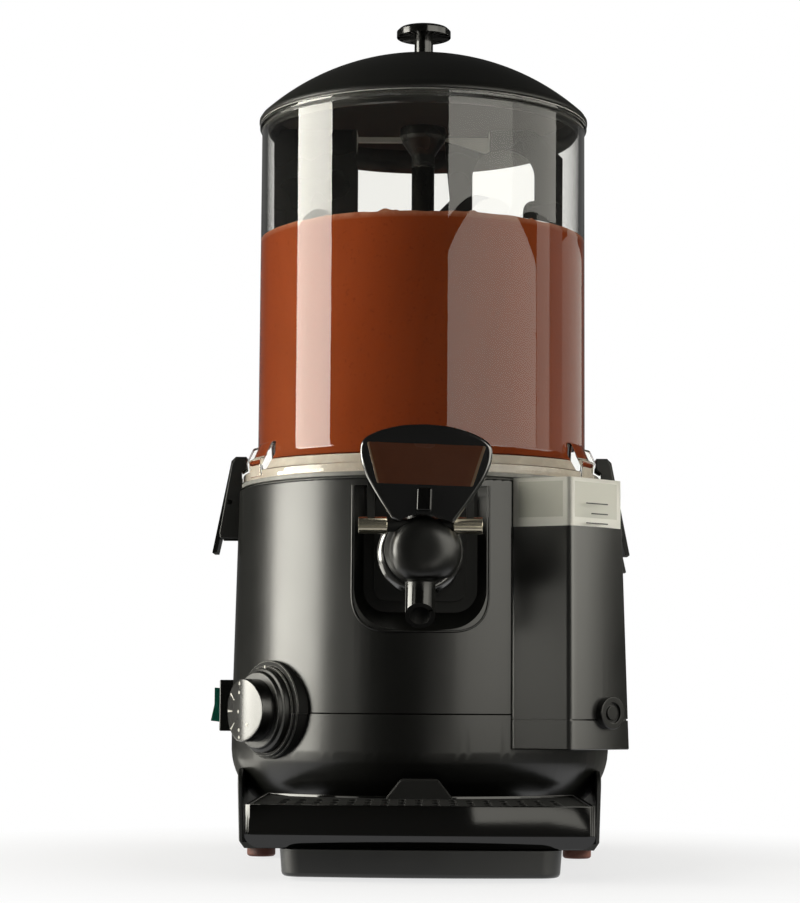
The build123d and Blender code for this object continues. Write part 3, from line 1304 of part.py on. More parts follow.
def shield_outline():
    """Front outline of the handle: arched top, broad shoulders, narrow foot."""
    side_bottom = HANDLE_SHOULDER - HANDLE_SIDE_H
    shoulder = (HANDLE_HALF, HANDLE_SHOULDER)
    side = (HANDLE_HALF, side_bottom)
    waist = (HANDLE_WAIST_HALF, HANDLE_FOOT + HANDLE_WAIST)
    toe = (HANDLE_FOOT_HALF, HANDLE_FOOT)
    top = ThreePointArc((-HANDLE_HALF, HANDLE_SHOULDER), (0, HANDLE_TOP), shoulder)
    right = Curve() + [Line(shoulder, side), Spline(side, waist, toe)]
    foot_line = Line((-HANDLE_FOOT_HALF, HANDLE_FOOT), toe)
    return make_face(Curve() + [top, right, foot_line, mirror(right, about=Plane.YZ)])


def badge_form(back, front):
    """Trapezoid of the brown panel between two distances ahead of the bowl axis."""
    return side_plate([
        (-BADGE_TOP_HALF, BADGE_TOP), (BADGE_TOP_HALF, BADGE_TOP), (BADGE_BOTTOM_HALF, BADGE_BOTTOM),
        (-BADGE_BOTTOM_HALF, BADGE_BOTTOM),
    ], -front, -back)


def tap_handle():
    """Shield-shaped handle with a rib and two arms down to the cross pin."""
    shield = extrude(Plane.XZ.offset(HANDLE_BACK) * shield_outline(), HANDLE_THICK)
    shield = fillet(shield.edges().filter_by(Axis.Y).group_by(Axis.Z)[-1], HANDLE_CORNER)
    shield = fillet(shield.faces().sort_by(Axis.Y)[0].edges(), HANDLE_EDGE)
    rib = block((-RIB_HALF, RIB_HALF), (-HANDLE_FRONT - RIB_THICK, SINK - HANDLE_FRONT),
                (HANDLE_FOOT, BADGE_BOTTOM - RIB_GAP))
    shield += fillet(rib.faces().sort_by(Axis.Y)[0].edges(), RIB_EDGE)
    arm_bottom = PIN_Z + PIN_R / 2
    arm = block(ARM_X, (-HANDLE_BACK - SINK, ARM_DEPTH - HANDLE_BACK), (arm_bottom, arm_bottom + ARM_H))
    shield += both_sides(arm)
    shield -= badge_form(HANDLE_FRONT - BADGE_SUNK, HANDLE_FRONT + CUT)
    return shield - pin_sleeves() - tap_pin()


def handle_badge():
    """Brown panel let into the front of the handle."""
    back = HANDLE_FRONT - BADGE_SUNK
    return badge_form(back, back + BADGE_THICK)


def latch_rod(half, radius):
    """Round bar along the left-hand latch's pivot, with a half length."""
    return rod((LATCH_X, -half, LATCH_Z), (LATCH_X, half, LATCH_Z), radius)


def latch_lever():
    """Left-hand latch lever: hook, plate, boss on the pin, and tail."""
    tip_x = HOOK_LAP - LUG_REACH
    outer_x = -CASING_R - HOOK_OUT
    inner_x = outer_x + LATCH_THICK
    tail_x = -CASING_R - LATCH_TAIL_OUT
    tail_z = CASING_TOP - LATCH_TAIL_DROP
    plate = side_plate([
        (tip_x, HOOK_TOP), (outer_x + HOOK_CHAMFER, HOOK_TOP), (outer_x, HOOK_TOP - HOOK_CHAMFER),
        (tail_x, tail_z), (tail_x + LATCH_THICK, tail_z), (inner_x, HOOK_BOTTOM - LATCH_SHOULDER),
        (inner_x, HOOK_BOTTOM), (tip_x, HOOK_BOTTOM),
    ], -LATCH_HALF, LATCH_HALF)
    bore = latch_rod(LATCH_HALF + CUT, LATCH_PIN_R + RUNNING_FIT)
    return plate + latch_rod(LATCH_HALF, LATCH_BOSS_R) - latch_rod(COIL_SLOT_HALF, LATCH_BOSS_R) - bore


def latch_pin():
    """Pin of the left-hand latch."""
    return latch_rod(LATCH_HALF + CHEEK_GAP + CHEEK_THICK, LATCH_PIN_R)


def latch_bracket():
    """Left-hand bracket: two cheeks and a back that follows the casing."""
    inner = LATCH_HALF + CHEEK_GAP
    outer = inner + CHEEK_THICK
    root_x = CHEEK_ROOT - CASING_R
    bottom = CASING_TOP - CHEEK_DROP
    top = CASING_TOP + CHEEK_RISE
    nose_out, nose_drop = CHEEK_NOSE
    wedge = [
        (root_x, bottom), (-CASING_R - CHEEK_OUT, bottom), (LATCH_X - nose_out, top - nose_drop),
        (LATCH_X, top), (root_x, top),
    ]
    bracket = side_plate(wedge, -outer, -inner) + side_plate(wedge, inner, outer)
    back_x = (-CASING_R - BRACKET_SKIN, root_x)
    bracket += block(back_x, (-outer, outer), (bottom, CASING_TOP - BRACKET_DROP))
    return bracket - core(CASING_R) - latch_pin()


def latch_spring():
    """Coil round the left-hand latch pin."""
    length = 2 * (COIL_SLOT_HALF - COIL_END_GAP)
    return Pos(LATCH_X, length / 2, LATCH_Z) * Rot(90, 0, 0) * coil(COIL_R, COIL_WIRE_R, length, COIL_TURNS)


def control_button(back, front, radius, edge):
    """Round bar along the thermostat's axis with its front rim chamfered."""
    bar = forward(0, CONTROL_Z, back, front, radius)
    rim = bar.edges().filter_by(GeomType.CIRCLE).sort_by(Axis.Y)[0]
    return Rot(0, 0, CONTROL_BEARING) * chamfer(rim, edge)


def bezel_ring(outer, step):
    """Bezel of the thermostat with one pair of radii all round."""
    back = CASING_R - BEZEL_DEPTH
    flange = control_button(back, CASING_R + BEZEL_PROUD, outer, BEZEL_EDGE)
    return flange + control_button(back, CASING_R + BEZEL_STEP_PROUD, step, BEZEL_EDGE)


def thermostat_bezel():
    """Stepped bezel of the thermostat, seated on the round casing, with a jog at the seam."""
    above = block((-FAR, FAR), (-FAR, FAR), (SEAM_Z, FAR))
    below = block((-FAR, FAR), (-FAR, FAR), (-FAR, SEAM_Z))
    upper = bezel_ring(BEZEL_R, BEZEL_STEP_R) & above
    lower = bezel_ring(BEZEL_R - BEZEL_JOG, BEZEL_STEP_R + BEZEL_JOG) & below
    bezel = upper + lower - control_bar(0, FAR, DIAL_R - BEZEL_RIM)
    return bezel - core(CASING_R) - control_bar(BEZEL_FLOOR, FAR, DIAL_R + SLIDE_GAP)


def thermostat_knob():
    """Dial with a ridged grip, on the control's shaft."""
    step_back = DIAL_FRONT - DIAL_STEP_H
    dial = control_button(BEZEL_FLOOR + SLIDE_GAP, step_back, DIAL_R, DIAL_EDGE)
    dial += control_button(step_back - SINK, DIAL_FRONT, DIAL_R - DIAL_STEP, DIAL_EDGE)
    return dial + Rot(0, 0, CONTROL_BEARING) * grip_form() - thermostat_shaft()


def grip_form():
    """Grip of the dial, facing the front: a round boss whose face is a roof with an upright ridge."""
    side = GRIP_R + CUT
    back = DIAL_FRONT - SINK
    roof = [(-side, -back), (side, -back), (side, -GRIP_SIDE), (0, -GRIP_FRONT), (-side, -GRIP_SIDE)]
    boss = forward(0, CONTROL_Z, back, GRIP_FRONT, GRIP_R)
    grip = boss & plan_plate(roof, CONTROL_Z - side, CONTROL_Z + side)
    slopes = grip.faces().filter_by(GeomType.PLANE).sort_by(Axis.Y)[:2]
    rims = [edge for slope in slopes for edge in slope.edges() if edge.geom_type != GeomType.LINE]
    return fillet(rims, GRIP_EDGE)


def thermostat_shaft():
    """Turning shaft of the control."""
    inner_end = CONTROL_BODY_FRONT - CONTROL_SHAFT_IN
    return control_bar(inner_end, GRIP_SIDE - CONTROL_SHAFT_SHORT, CONTROL_SHAFT_R)


def thermostat_body():
    """Control inside the casing, with a collar against the casing wall."""
    body = control_bar(CONTROL_BODY_FRONT - CONTROL_BODY_H, CONTROL_BODY_FRONT, CONTROL_BODY_R)
    body += control_bar(CONTROL_BODY_FRONT - SINK, CASING_R, CONTROL_SHAFT_R + CONTROL_COLLAR)
    return body - control_bar(CONTROL_BODY_FRONT - CONTROL_SHAFT_IN, FAR, CONTROL_SHAFT_R + RUNNING_FIT)


def rocker_rod(half, radius):
    """Round bar along the rocker's pivot, with a half length."""
    return rod((-ROCKER_PIVOT, -half, SWITCH_Z), (-ROCKER_PIVOT, half, SWITCH_Z), radius)


def switch_frame():
    """Frame and body of the rocker switch, with the hollow that the rocker swings in."""
    frame = block((-CASING_R - SWITCH_PROUD, SWITCH_SEAT - CASING_R), (-SWITCH_HALF_Y, SWITCH_HALF_Y),
                  (SWITCH_Z - SWITCH_HALF_Z, SWITCH_Z + SWITCH_HALF_Z))
    frame = fillet(frame.edges().group_by(Axis.X)[0], SWITCH_EDGE)
    frame = frame - core(CASING_R) + switch_body_form()
    well_half = ROCKER_HALF_Z + SWITCH_RIM
    well = block((-CASING_R - SWITCH_PROUD - CUT, ROCKER_WELL - CASING_R),
                 (-ROCKER_HALF_Y - SLIDE_GAP, ROCKER_HALF_Y + SLIDE_GAP),
                 (SWITCH_Z - well_half, SWITCH_Z + well_half))
    return frame - well + rocker_rod(SWITCH_HALF_Y - ROCKER_PIN_END, ROCKER_PIN_R)


def rocker():
    """Green rocker, tilted to its ON side."""
    low = SWITCH_Z - ROCKER_HALF_Z
    high = SWITCH_Z + ROCKER_HALF_Z
    shape = side_plate([
        (-ROCKER_FRONT, low), (ROCKER_DISH - ROCKER_FRONT, SWITCH_Z), (-ROCKER_FRONT, high),
        (-ROCKER_PIVOT, high), (ROCKER_HEEL - ROCKER_PIVOT, SWITCH_Z), (-ROCKER_PIVOT, low),
    ], -ROCKER_HALF_Y, ROCKER_HALF_Y)
    bore = rocker_rod(ROCKER_HALF_Y + CUT, ROCKER_PIN_R + RUNNING_FIT)
    axis = Axis((-ROCKER_PIVOT, 0, SWITCH_Z), (0, 1, 0))
    return (shape - bore).rotate(axis, ROCKER_TILT)


def box_prism(inset, bottom, top):
    """Upright prism on the water box's plan, made smaller by an inset and clear of the casing by it too."""
    plan = Sketch() + make_face(Polyline(*BOX_PLAN, close=True))
    if inset:
        plan = offset(plan, -inset, kind=Kind.INTERSECTION)
    front_corner = plan.vertices().sort_by(Axis.Y)[0]
    plan = fillet(front_corner, BOX_FRONT_ROUND - inset)
    if inset < BOX_ROUND:
        side_corners = plan.vertices().sort_by(Axis.X)[-2:]
        left_corner = plan.vertices().group_by(Axis.X)[0].sort_by(Axis.Y)[0]
        plan = fillet([left_corner, *side_corners], BOX_ROUND - inset)
    return extrude(Pos(0, 0, bottom) * plan, top - bottom, dir=(0, 0, 1)) - core(CASING_R + inset)


def plug_bar(back, front, radius):
    """Round bar along the drain plug's axis, between two distances out from the box's slanting face."""
    start = Vector(*BOX_PLAN[2])
    end = Vector(*BOX_PLAN[3])
    run = (end - start).normalized()
    outward = Vector(run.Y, -run.X, 0)
    centre = start + (end - start) * PLUG_ALONG + Vector(0, 0, PLUG_Z)
    first = centre + outward * back
    last = centre + outward * front
    return rod((first.X, first.Y, first.Z), (last.X, last.Y, last.Z), radius)


def box_tab():
    """Thumb tab on the outer side of the water box."""
    side = CASING_R + BOX_SIDE_PROUD
    middle = (BOX_SIDE_FRONT + BOX_SIDE_REAR) / 2
    top = BOX_TOP - BOX_TAB_DROP
    bottom = top - BOX_TAB_H
    outline = [(side - SINK, top), (side, top), (side + BOX_TAB_OUT, bottom), (side - SINK, bottom)]
    return side_plate(outline, -middle - BOX_TAB_W / 2, BOX_TAB_W / 2 - middle)


def box_cover():
    """Black cover of the water box, with a seam groove, a thumb tab and a hole for the drain plug."""
    cover = box_prism(0, BOX_BOTTOM, BOX_TOP)
    cover = fillet(cover.edges().group_by(Axis.Z)[0], BOX_EDGE)
    cover -= box_prism(BOX_WALL, BOX_BOTTOM + BOX_WALL, BOX_TOP + CUT)
    groove_top = BOX_GROOVE_Z + BOX_GROOVE
    groove = box_prism(0, BOX_GROOVE_Z, groove_top)
    groove -= box_prism(BOX_GROOVE, BOX_GROOVE_Z - CUT, groove_top + CUT)
    cover = cover - groove + box_tab()
    cover -= plug_bar(-BOX_WALL - CUT, CUT, PLUG_STEM_R + SLIDE_GAP)
    return cover - pipe_bar(JACKET_R, PIPE_FRONT, PIPE_R)


def water_tank():
    """Clear tank in the cover, with its rim above it and a boss for the drain plug."""
    tank = box_prism(TANK_OUTER, TANK_FLOOR, BOX_TOP + SINK) + box_prism(TANK_INSET, BOX_TOP, TANK_TOP)
    tank -= box_prism(TANK_INNER, TANK_FLOOR + TANK_WALL, TANK_TOP + CUT)
    tank += plug_bar(-PLUG_BOSS, -TANK_OUTER - SINK, PLUG_BOSS_R)
    tank -= plug_bar(-PLUG_BOSS - CUT, 0, PLUG_STEM_R + RUNNING_FIT)
    return tank - pipe_bar(JACKET_R, PIPE_FRONT, PIPE_R)


def water_pipe():
    """Short pipe from the water tank into the jacket."""
    back = JACKET_R - PIPE_IN
    return pipe_bar(back, PIPE_FRONT, PIPE_R) - pipe_bar(back - CUT, PIPE_FRONT + CUT, PIPE_BORE_R)


def drain_plug():
    """Drain plug with a dished round knob."""
    knob = plug_bar(SLIDE_GAP, PLUG_H, PLUG_R)
    knob = fillet(knob.edges().filter_by(GeomType.CIRCLE), PLUG_EDGE)
    knob -= plug_bar(PLUG_H - PLUG_DISH, PLUG_H + CUT, PLUG_DISH_R)
    knob += plug_bar(PLUG_H - PLUG_DISH - SINK, PLUG_H - PLUG_HUB_DROP, PLUG_HUB_R)
    return knob + plug_bar(-PLUG_STEM, SLIDE_GAP + SINK, PLUG_STEM_R)


def safety_cutout():
    """Disc cut-out with two terminals, against the jacket floor."""
    bottom = JACKET_BOTTOM - CUTOUT_H
    width, thick, length = CUTOUT_TAB
    terminal = block((-width / 2, width / 2), (-thick / 2, thick / 2), (bottom - length, bottom + SINK))
    can = disc(CUTOUT_R, bottom, JACKET_BOTTOM)
    can += [Pos(side * CUTOUT_TAB_X, 0, 0) * terminal for side in SIDES]
    return Pos(*CUTOUT_XY, 0) * can


def terminal_block():
    """Terminal block on the lower casing's floor."""
    floor = LOWER_BOTTOM + CASING_WALL
    top = floor + BLOCK_H
    terminals = block(BLOCK_X, BLOCK_Y, (floor, top))
    step = (BLOCK_X[1] - BLOCK_X[0]) / BLOCK_WELLS
    middle = sum(BLOCK_Y) / 2
    for index in range(BLOCK_WELLS):
        x = BLOCK_X[0] + (index + 0.5) * step
        terminals -= Pos(x, middle, 0) * disc(BLOCK_WELL_R, top - BLOCK_WELL, top + CUT)
    return terminals


def cable_gland():
    """Gland for the supply cord at the rear."""
    nut = gland_bar(CASING_R - GLAND_NUT, CASING_R + GLAND_NUT, GLAND_NUT_R) - core(CASING_R)
    gland = gland_bar(CASING_INNER - GLAND_IN, GLAND_REAR, GLAND_R) + nut
    return gland - gland_bar(0, GLAND_REAR + CUT, GLAND_BORE_R)


PARTS = {
    "base_frame": base_frame,
    "rubber_feet": feet,
    "screws": lambda: base_screws() + gearcase_screws(),
    "lower_casing": lower_casing,
    "upper_casing": upper_casing,
    "inner_pot": inner_pot,
    "water_jacket": water_jacket,
    "heater_ring": heater_ring,
    "heater_nuts": heater_nuts,
    "centre_tube": centre_tube,
    "shaft_bushes": shaft_bushes,
    "bowl_gasket": bowl_gasket,
    "bowl": bowl,
    "chocolate": chocolate,
    "lid": lid,
    "lid_knob": lid_knob,
    "lid_screw": lid_screw,
    "drive_shaft": drive_shaft,
    "agitator_hub": agitator_hub,
    "left_paddle": left_paddle,
    "right_paddle": right_paddle,
    "output_gear": output_gear,
    "idler_gear": idler_gear,
    "idler_axle": idler_axle,
    "motor_rotor": motor_rotor,
    "motor_pinion": motor_pinion,
    "motor_can": motor_can,
    "gear_case": gear_case,
    "gear_cover": gear_cover,
    "tap_plate": tap_plate,
    "tap_gasket": tap_gasket,
    "tap_ring": tap_ring,
    "tap_body": tap_body,
    "tap_cap": tap_cap,
    "tap_plunger": tap_plunger,
    "plunger_spring": plunger_spring,
    "tap_pin": tap_pin,
    "pin_sleeves": pin_sleeves,
    "tap_handle": tap_handle,
    "handle_badge": handle_badge,
    "left_latch": latch_lever,
    "right_latch": lambda: mirror(latch_lever(), about=Plane.YZ),
    "latch_brackets": lambda: both_sides(latch_bracket()),
    "latch_pins": lambda: both_sides(latch_pin()),
    "latch_springs": lambda: both_sides(latch_spring()),
    "thermostat_bezel": thermostat_bezel,
    "thermostat_knob": thermostat_knob,
    "thermostat_shaft": thermostat_shaft,
    "thermostat_body": thermostat_body,
    "switch_frame": switch_frame,
    "rocker": rocker,
    "box_cover": box_cover,
    "water_tank": water_tank,
    "water_pipe": water_pipe,
    "drain_plug": drain_plug,
    "drip_tray": drip_tray,
    "drip_grid": drip_grid,
    "safety_cutout": safety_cutout,
    "terminal_block": terminal_block,
    "cable_gland": cable_gland,
}

os.makedirs("parts", exist_ok=True)
for name, make in PARTS.items():
    export_step(Pos(0, AXIS_BACK, 0) * make(), f"parts/{name}.step")
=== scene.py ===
import json
import math
import bmesh
import bpy
from mathutils import Matrix, Vector, noise


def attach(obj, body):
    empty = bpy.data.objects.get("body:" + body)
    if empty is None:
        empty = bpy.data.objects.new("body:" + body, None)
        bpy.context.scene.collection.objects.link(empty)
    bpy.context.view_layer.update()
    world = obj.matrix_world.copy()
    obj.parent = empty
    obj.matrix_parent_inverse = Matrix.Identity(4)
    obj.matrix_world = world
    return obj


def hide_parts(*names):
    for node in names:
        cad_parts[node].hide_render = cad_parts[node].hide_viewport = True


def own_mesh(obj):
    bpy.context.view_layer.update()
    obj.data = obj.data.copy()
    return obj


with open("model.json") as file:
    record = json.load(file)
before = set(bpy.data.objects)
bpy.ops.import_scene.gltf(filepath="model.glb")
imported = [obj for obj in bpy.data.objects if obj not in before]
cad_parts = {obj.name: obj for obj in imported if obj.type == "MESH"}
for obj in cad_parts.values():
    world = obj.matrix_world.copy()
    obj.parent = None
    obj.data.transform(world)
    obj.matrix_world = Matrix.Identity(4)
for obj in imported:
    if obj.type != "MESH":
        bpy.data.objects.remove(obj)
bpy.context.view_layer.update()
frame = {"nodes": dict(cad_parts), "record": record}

# Sizes are in millimetres about the bowl axis, as in the part: X right, Y away, Z up. Widths of rounded
# edges, and lengths in materials and in the studio, are in metres.
AXIS_Y = 70.0               # bowl axis in the row frame
SHARP = 40.0                # edges that turn more than this are shaded sharp
CREASE = 32.0               # edges that turn more than this are rounded
UPRIGHT = (0.02, 0.2)       # an upright edge's least rise, and its largest run as a share of the rise

# Camera, fitted to the photograph's edges
CAMERA_PLACE = (2.41, -1686.86, 103.13)
CAMERA_YAW = -0.0103
CAMERA_PITCH = 0.103
CAMERA_ROLL = 0.0068
FOCAL_PIXELS = 2422.76
IMAGE_H = 903
SENSOR = 36.0

# Bowl and chocolate
BOWL_R, BOWL_INNER = 114.0, 110.0
BOWL_BOTTOM, BOWL_TOP = 252.5, 508.5
BOWL_RIM = 5.0              # height of the rolled rim
RIM_HIGHLIGHT_REACH = (0.4, 1.2)    # the rim's outer band, beyond the wall by the first and down by the second, is made pale: painted highlight
FLANGE_R, FLANGE_TOP = 124.0, 258.5
LUG_REACH, LUG_TOP, LUG_HALF = 125.5, 266.0, 10.0
EAR_TURNS = (0.0, -25.3125, 180.0, 205.3125)    # places of the ears round the bowl, whole steps of its wall
RIB_TOP = 279.0
SEAL_INNER, SEAL_TOP = 99.7, 264.5
CHOCOLATE_R, CHOCOLATE_TOP = 109.4, 426.0
CHOCOLATE_FOOT = 265.0      # lower edge of the chocolate against the bowl
FROTH = (CHOCOLATE_TOP - 3.8, CHOCOLATE_TOP + 0.2)      # the froth comes in between these heights
BUBBLES = (                 # place and radius of each
    (-24.0, -104.5, 4.2), (-17.5, -106.0, 2.6), (33.0, -102.0, 3.0), (-62.0, -86.0, 3.4), (71.0, -80.0, 2.8),
)
BUBBLE_RISE = 0.55          # height of a bubble as a share of its radius
RIPPLE_PITCH = 0.03
RIPPLES = ((1.3, 1.0), (0.8, 3.1))      # height and fineness of the ripples in the chocolate's upper face
POT_CLEAR_R, POT_FLOOR = 94.0, 180
COLUMN_CLEAR_R = 8.5
POT_RIM = (116.0, 247.0)    # beyond this radius and above this height the pot's rim is painted with the seal's grey

# Lid
LID_R, LID_APEX = 116.0, 557.7
LID_BRIM, LID_WALL, SKIRT_DEPTH = 3.0, 2.5, 9.0
SKIRT_R = BOWL_INNER - 0.5
STEM_FOOT, STEM_DROP = 564.0, 4.2   # the knob's stem below this height is let down by this much
KNOB_UNDER = (18.0, 577.2, 573.8)   # radius and top of the rim's underside, and its height as wanted

# Agitator
BLADE_CORNER = (-80.0, 480.0)       # the broad paddle's outer top corner lies beyond these
BLADE_EDGE, BLADE_WIDER = -100.0, 2.0
CORNER_OUT, CORNER_RISE = 17.0, 11.0
ARM_REACH, ARM_FOOT, ARM_LOW, ARM_SLIM = 46.9, 499.0, 497.2, 0.5
ARM_ROOT = (20.0, 0.8)      # the arms' ends nearer than this are brought in by this share
HUB = (
    (0, 506.0, 0), (4.5, 506.0, 0), (4.5, 480.0, 0), (8.0, 480.0, 0.4), (8.2, 487.5, 1.5), (15.4, 498.0, 1.2),
    (16.5, 500.5, 0.8), (16.5, 507.0, 0.8), (0, 507.0, 0),
)

# Casing
CASING_R = 126.5
CASING_TOP, SEAM_Z = 248.0, 95.0
FLARE = 3.2                 # growth of the casing's radius at its sides, from its top down to the seam
FLARE_IN, FLARE_OUT = (30.0, 70.0), (110.0, 150.0)      # bearings where it comes in and goes out
FLARE_CLEAR = (38.0, 60.0)  # it comes in between these distances from the thermostat
POCKET_BEAD = (44.3, 148.2, 243.0, 25.0)    # half width, bottom, top and corner of the tap pocket's edge
BEAD_R = 0.8

# Tap and its handle
PIN_Z = 212.0
BALL_Y, BALL_Z, BALL_R = -178.0, 198.0, 22.5
BALL_SQUARE = 3.2           # power of the ball's flattened front, where a sphere's is 2
BALL_LEFT_SQUARE = 1.2      # its left half is flatter by this power
BALL_FOOT, BALL_EASE = 177.0, 6.0   # its foot keeps its shape, which goes over into the front's above it
BALL_NEAR = 0.01            # share of its radius by which a point may lie off the ball's face
BALL_SHIFT = (3.4, 1.6)     # its front sits a little to the right and lower
SPOUT_BORE, SPOUT_ROOT = 6.5, 175.0
SHIELD_BACK, SHIELD_FRONT = -190.0, -196.5
SHIELD_SHIFT = 1.8          # the handle sits a little to the right of the tap, and leans
SHIELD_LEAN = 1.9
SHIELD_NOTCH = 23.8         # radius of the hollow that clears the ball, also when the handle tilts
NOTCH_FRONT = (0.9, 0.0)    # shares by which the hollow narrows at the front, on its right and its left
SHIELD_SIDE = (
    (0, 274.6), (14, 273.6), (26, 270.8), (34.5, 267.2), (38.6, 264.2), (40.6, 260.8), (41.0, 256.5),
    (40.4, 251.5), (38.8, 246), (36.6, 241), (33.9, 236.3), (30.6, 231), (27, 225.4), (22.8, 219.3),
    (19.5, 214.4),
)
BADGE_TOP, BADGE_BOTTOM = 262.0, 236.6
BADGE_TOP_HALF, BADGE_BOTTOM_HALF = 36.9, 29.6
HANDLE_RIB = (4.6, 220.4, 234.5)    # half width, bottom and top

# Latches
CHEEK_NEAR, CHEEK_FAR = 11.9, 15.0
CHEEK_SHAPE = (
    (-124.4, 215.0, 0), (-138.9, 215.0, 1.0), (-139.4, 219.0, 0), (-131.4, 266.5, 3.0), (-129.0, 271.0, 2.0),
    (-121.2, 271.0, 1.0), (-121.2, 263.5, 0), (-124.4, 261.5, 0),
)
BRACKET_BACK = (217.0, 245.0)       # bottom and top of the brackets' thin back

# Thermostat
CONTROL_BEARING, CONTROL_Z = -50.0, 97.0
DIAL_R, DIAL_BACK, DIAL_FRONT = 27.5, 131.4, 140.0
GRIP_R = 20.5
GRIP_RIDGE = (5.0, 153.4)   # place across and outwards of the grip's ridge
GRIP_RIGHT_OUT = 149.6      # outward reach of the grip at its right and left sides
GRIP_LEFT_OUT = 148.6
GRIP_BLEND = 9.0            # the ridge is rounded off over this width on each side
GRIP_DEPTH = -10            # stands for the grip's foot, which lies in the dial
DIAL_TICKS = ((-15.2, 10.9, -9.8, 6.4), (-19.4, -0.6, -12.8, -0.6), (-14.4, -12.6, -9.6, -8.4))
DIAL_DOTS = ((-2.2, 17.4), (-2.4, 11.7), (-3.6, -0.9), (-2.4, -12.8), (6.9, -9.4), (-2.2, -17.6))
TICK_HALF, TICK_TIP, DOT_R = 0.75, 0.4, 1.15
MARK_RISE = (0.01, 0.16)    # the marks' heights above the grip's faces
POINTER = ((-1.0, 25.2), (0.3, 25.2), (0.3, 29.4), (-1.0, 29.4))
POINTER_OUT = (132.6, 133.3)

# Water box
BOX_LEFT = 59.5
BOX_STEP = (-112.6, -121.0)     # depth of the box's left edge as wanted, and as it is in the part
BOX_FRONT, BOX_RIGHT = (96.5, -129.5), (136.5, -96.0)
BOX_CORNER = (3.0, 0.006)   # the edges this near the front corner in plan are rounded by this width
BOX_BULGE = 3.2             # how far the middle of the box's right face stands out
BOX_LOW, BOX_HIGH = 71.0, 217.0
BOX_DRAW = 4.4              # the box's right side is drawn in by this much at its top
BOX_LIFT = 2.2              # its bottom is raised
TANK_SIDE = (112.0, 137.0, 4.5)     # the tank draws in by this much from the first place to the second
TANK_SHOULDER, TANK_TOP_DROP = 240, 3.2     # above this height the tank is let down by this much
TANK_PANEL = 220.5          # foot of the sunk panels in the tank's front faces
TANK_FACES = (-24.5, 40.0)  # directions of those faces
PANEL_EDGE, PANEL_SINK = 0.0036, 0.0007
LEVEL_MARKS = (0.30, 0.72, (231.8, 225.2, 218.9))     # ends along the slanting face, and heights
LEVEL_SHORT, LEVEL_HIGH = 0.1, 0.8      # every other mark starts this much later, and they are this high
LEVEL_PROUD = (0.05, 0.2)   # how far the marks' backs and fronts stand off the face
SLANT_START, SLANT_END = Vector((96.5, -129.5)), Vector((132.0, -99.8))

# Base and tray
BASE_TOP = 58.0
BASE_PINCH = (108.0, 0.8, 0.12)     # beyond this the base's sides are drawn in to this share, and taper
TRAY_REAR = 128.0
TRAY_TOP, TRAY_BOTTOM = 47.0, 16.0
TRAY_HALF, TRAY_FRONT, TRAY_BOW = 103.0, 264.0, 7.0
TRAY_BAND, BAND_SLOPE = 25.0, 0.3   # below this the tray's front leans in by this slope
TRAY_CORNER = (99.0, -260.0)        # centre of the tray's rounded front corners
TRAY_RAISE, TRAY_EASE = 2.8, 20.0   # the tray's floor and its shelf are raised, less near the tray's top
TRAY_LOWER = 3.6            # the tray's rim and the grid sit this much lower
TRAY_LEFT = 0.985           # share of the tray's left half that is kept
SHELF_MIDDLE, SHELF_TOP = 9.0, 17.0
SHELF_DRAW = (0.966, 0.02)  # share of the shelf's left half that is kept, and its taper
TAB_TOP = 54.5
FOOT_INSET = 2.4


def place(x, y, z):
    """Point in the row frame, in metres."""
    return Vector((x / 1000, (y + AXIS_Y) / 1000, z / 1000))


def from_row(point):
    """Sizes about the bowl axis of a point in the row frame."""
    return point[0] * 1000, point[1] * 1000 - AXIS_Y, point[2] * 1000


def facing(u, v, w):
    """Point of an outline seen from the front, at a depth."""
    return place(u, w, v)


def leaning(u, v, w):
    """Point of the tap handle's outline, which leans to the right about the pin."""
    angle = math.radians(SHIELD_LEAN)
    rise = v - PIN_Z
    return place(SHIELD_SHIFT + u * math.cos(angle) + rise * math.sin(angle), w,
                 PIN_Z + rise * math.cos(angle) - u * math.sin(angle))


def at_bearing(bearing, across, out, z):
    """Point at a bearing about the bowl axis: 0 faces the front and +90 the right."""
    angle = math.radians(bearing)
    right = Vector((math.cos(angle), math.sin(angle)))
    outward = Vector((math.sin(angle), -math.cos(angle)))
    flat = right * across + outward * out
    return place(flat.x, flat.y, z)


def on_dial(across, rise, out):
    """Point of the thermostat, across, above and out along its axis."""
    return at_bearing(CONTROL_BEARING, across, out, CONTROL_Z + rise)


# Node materials


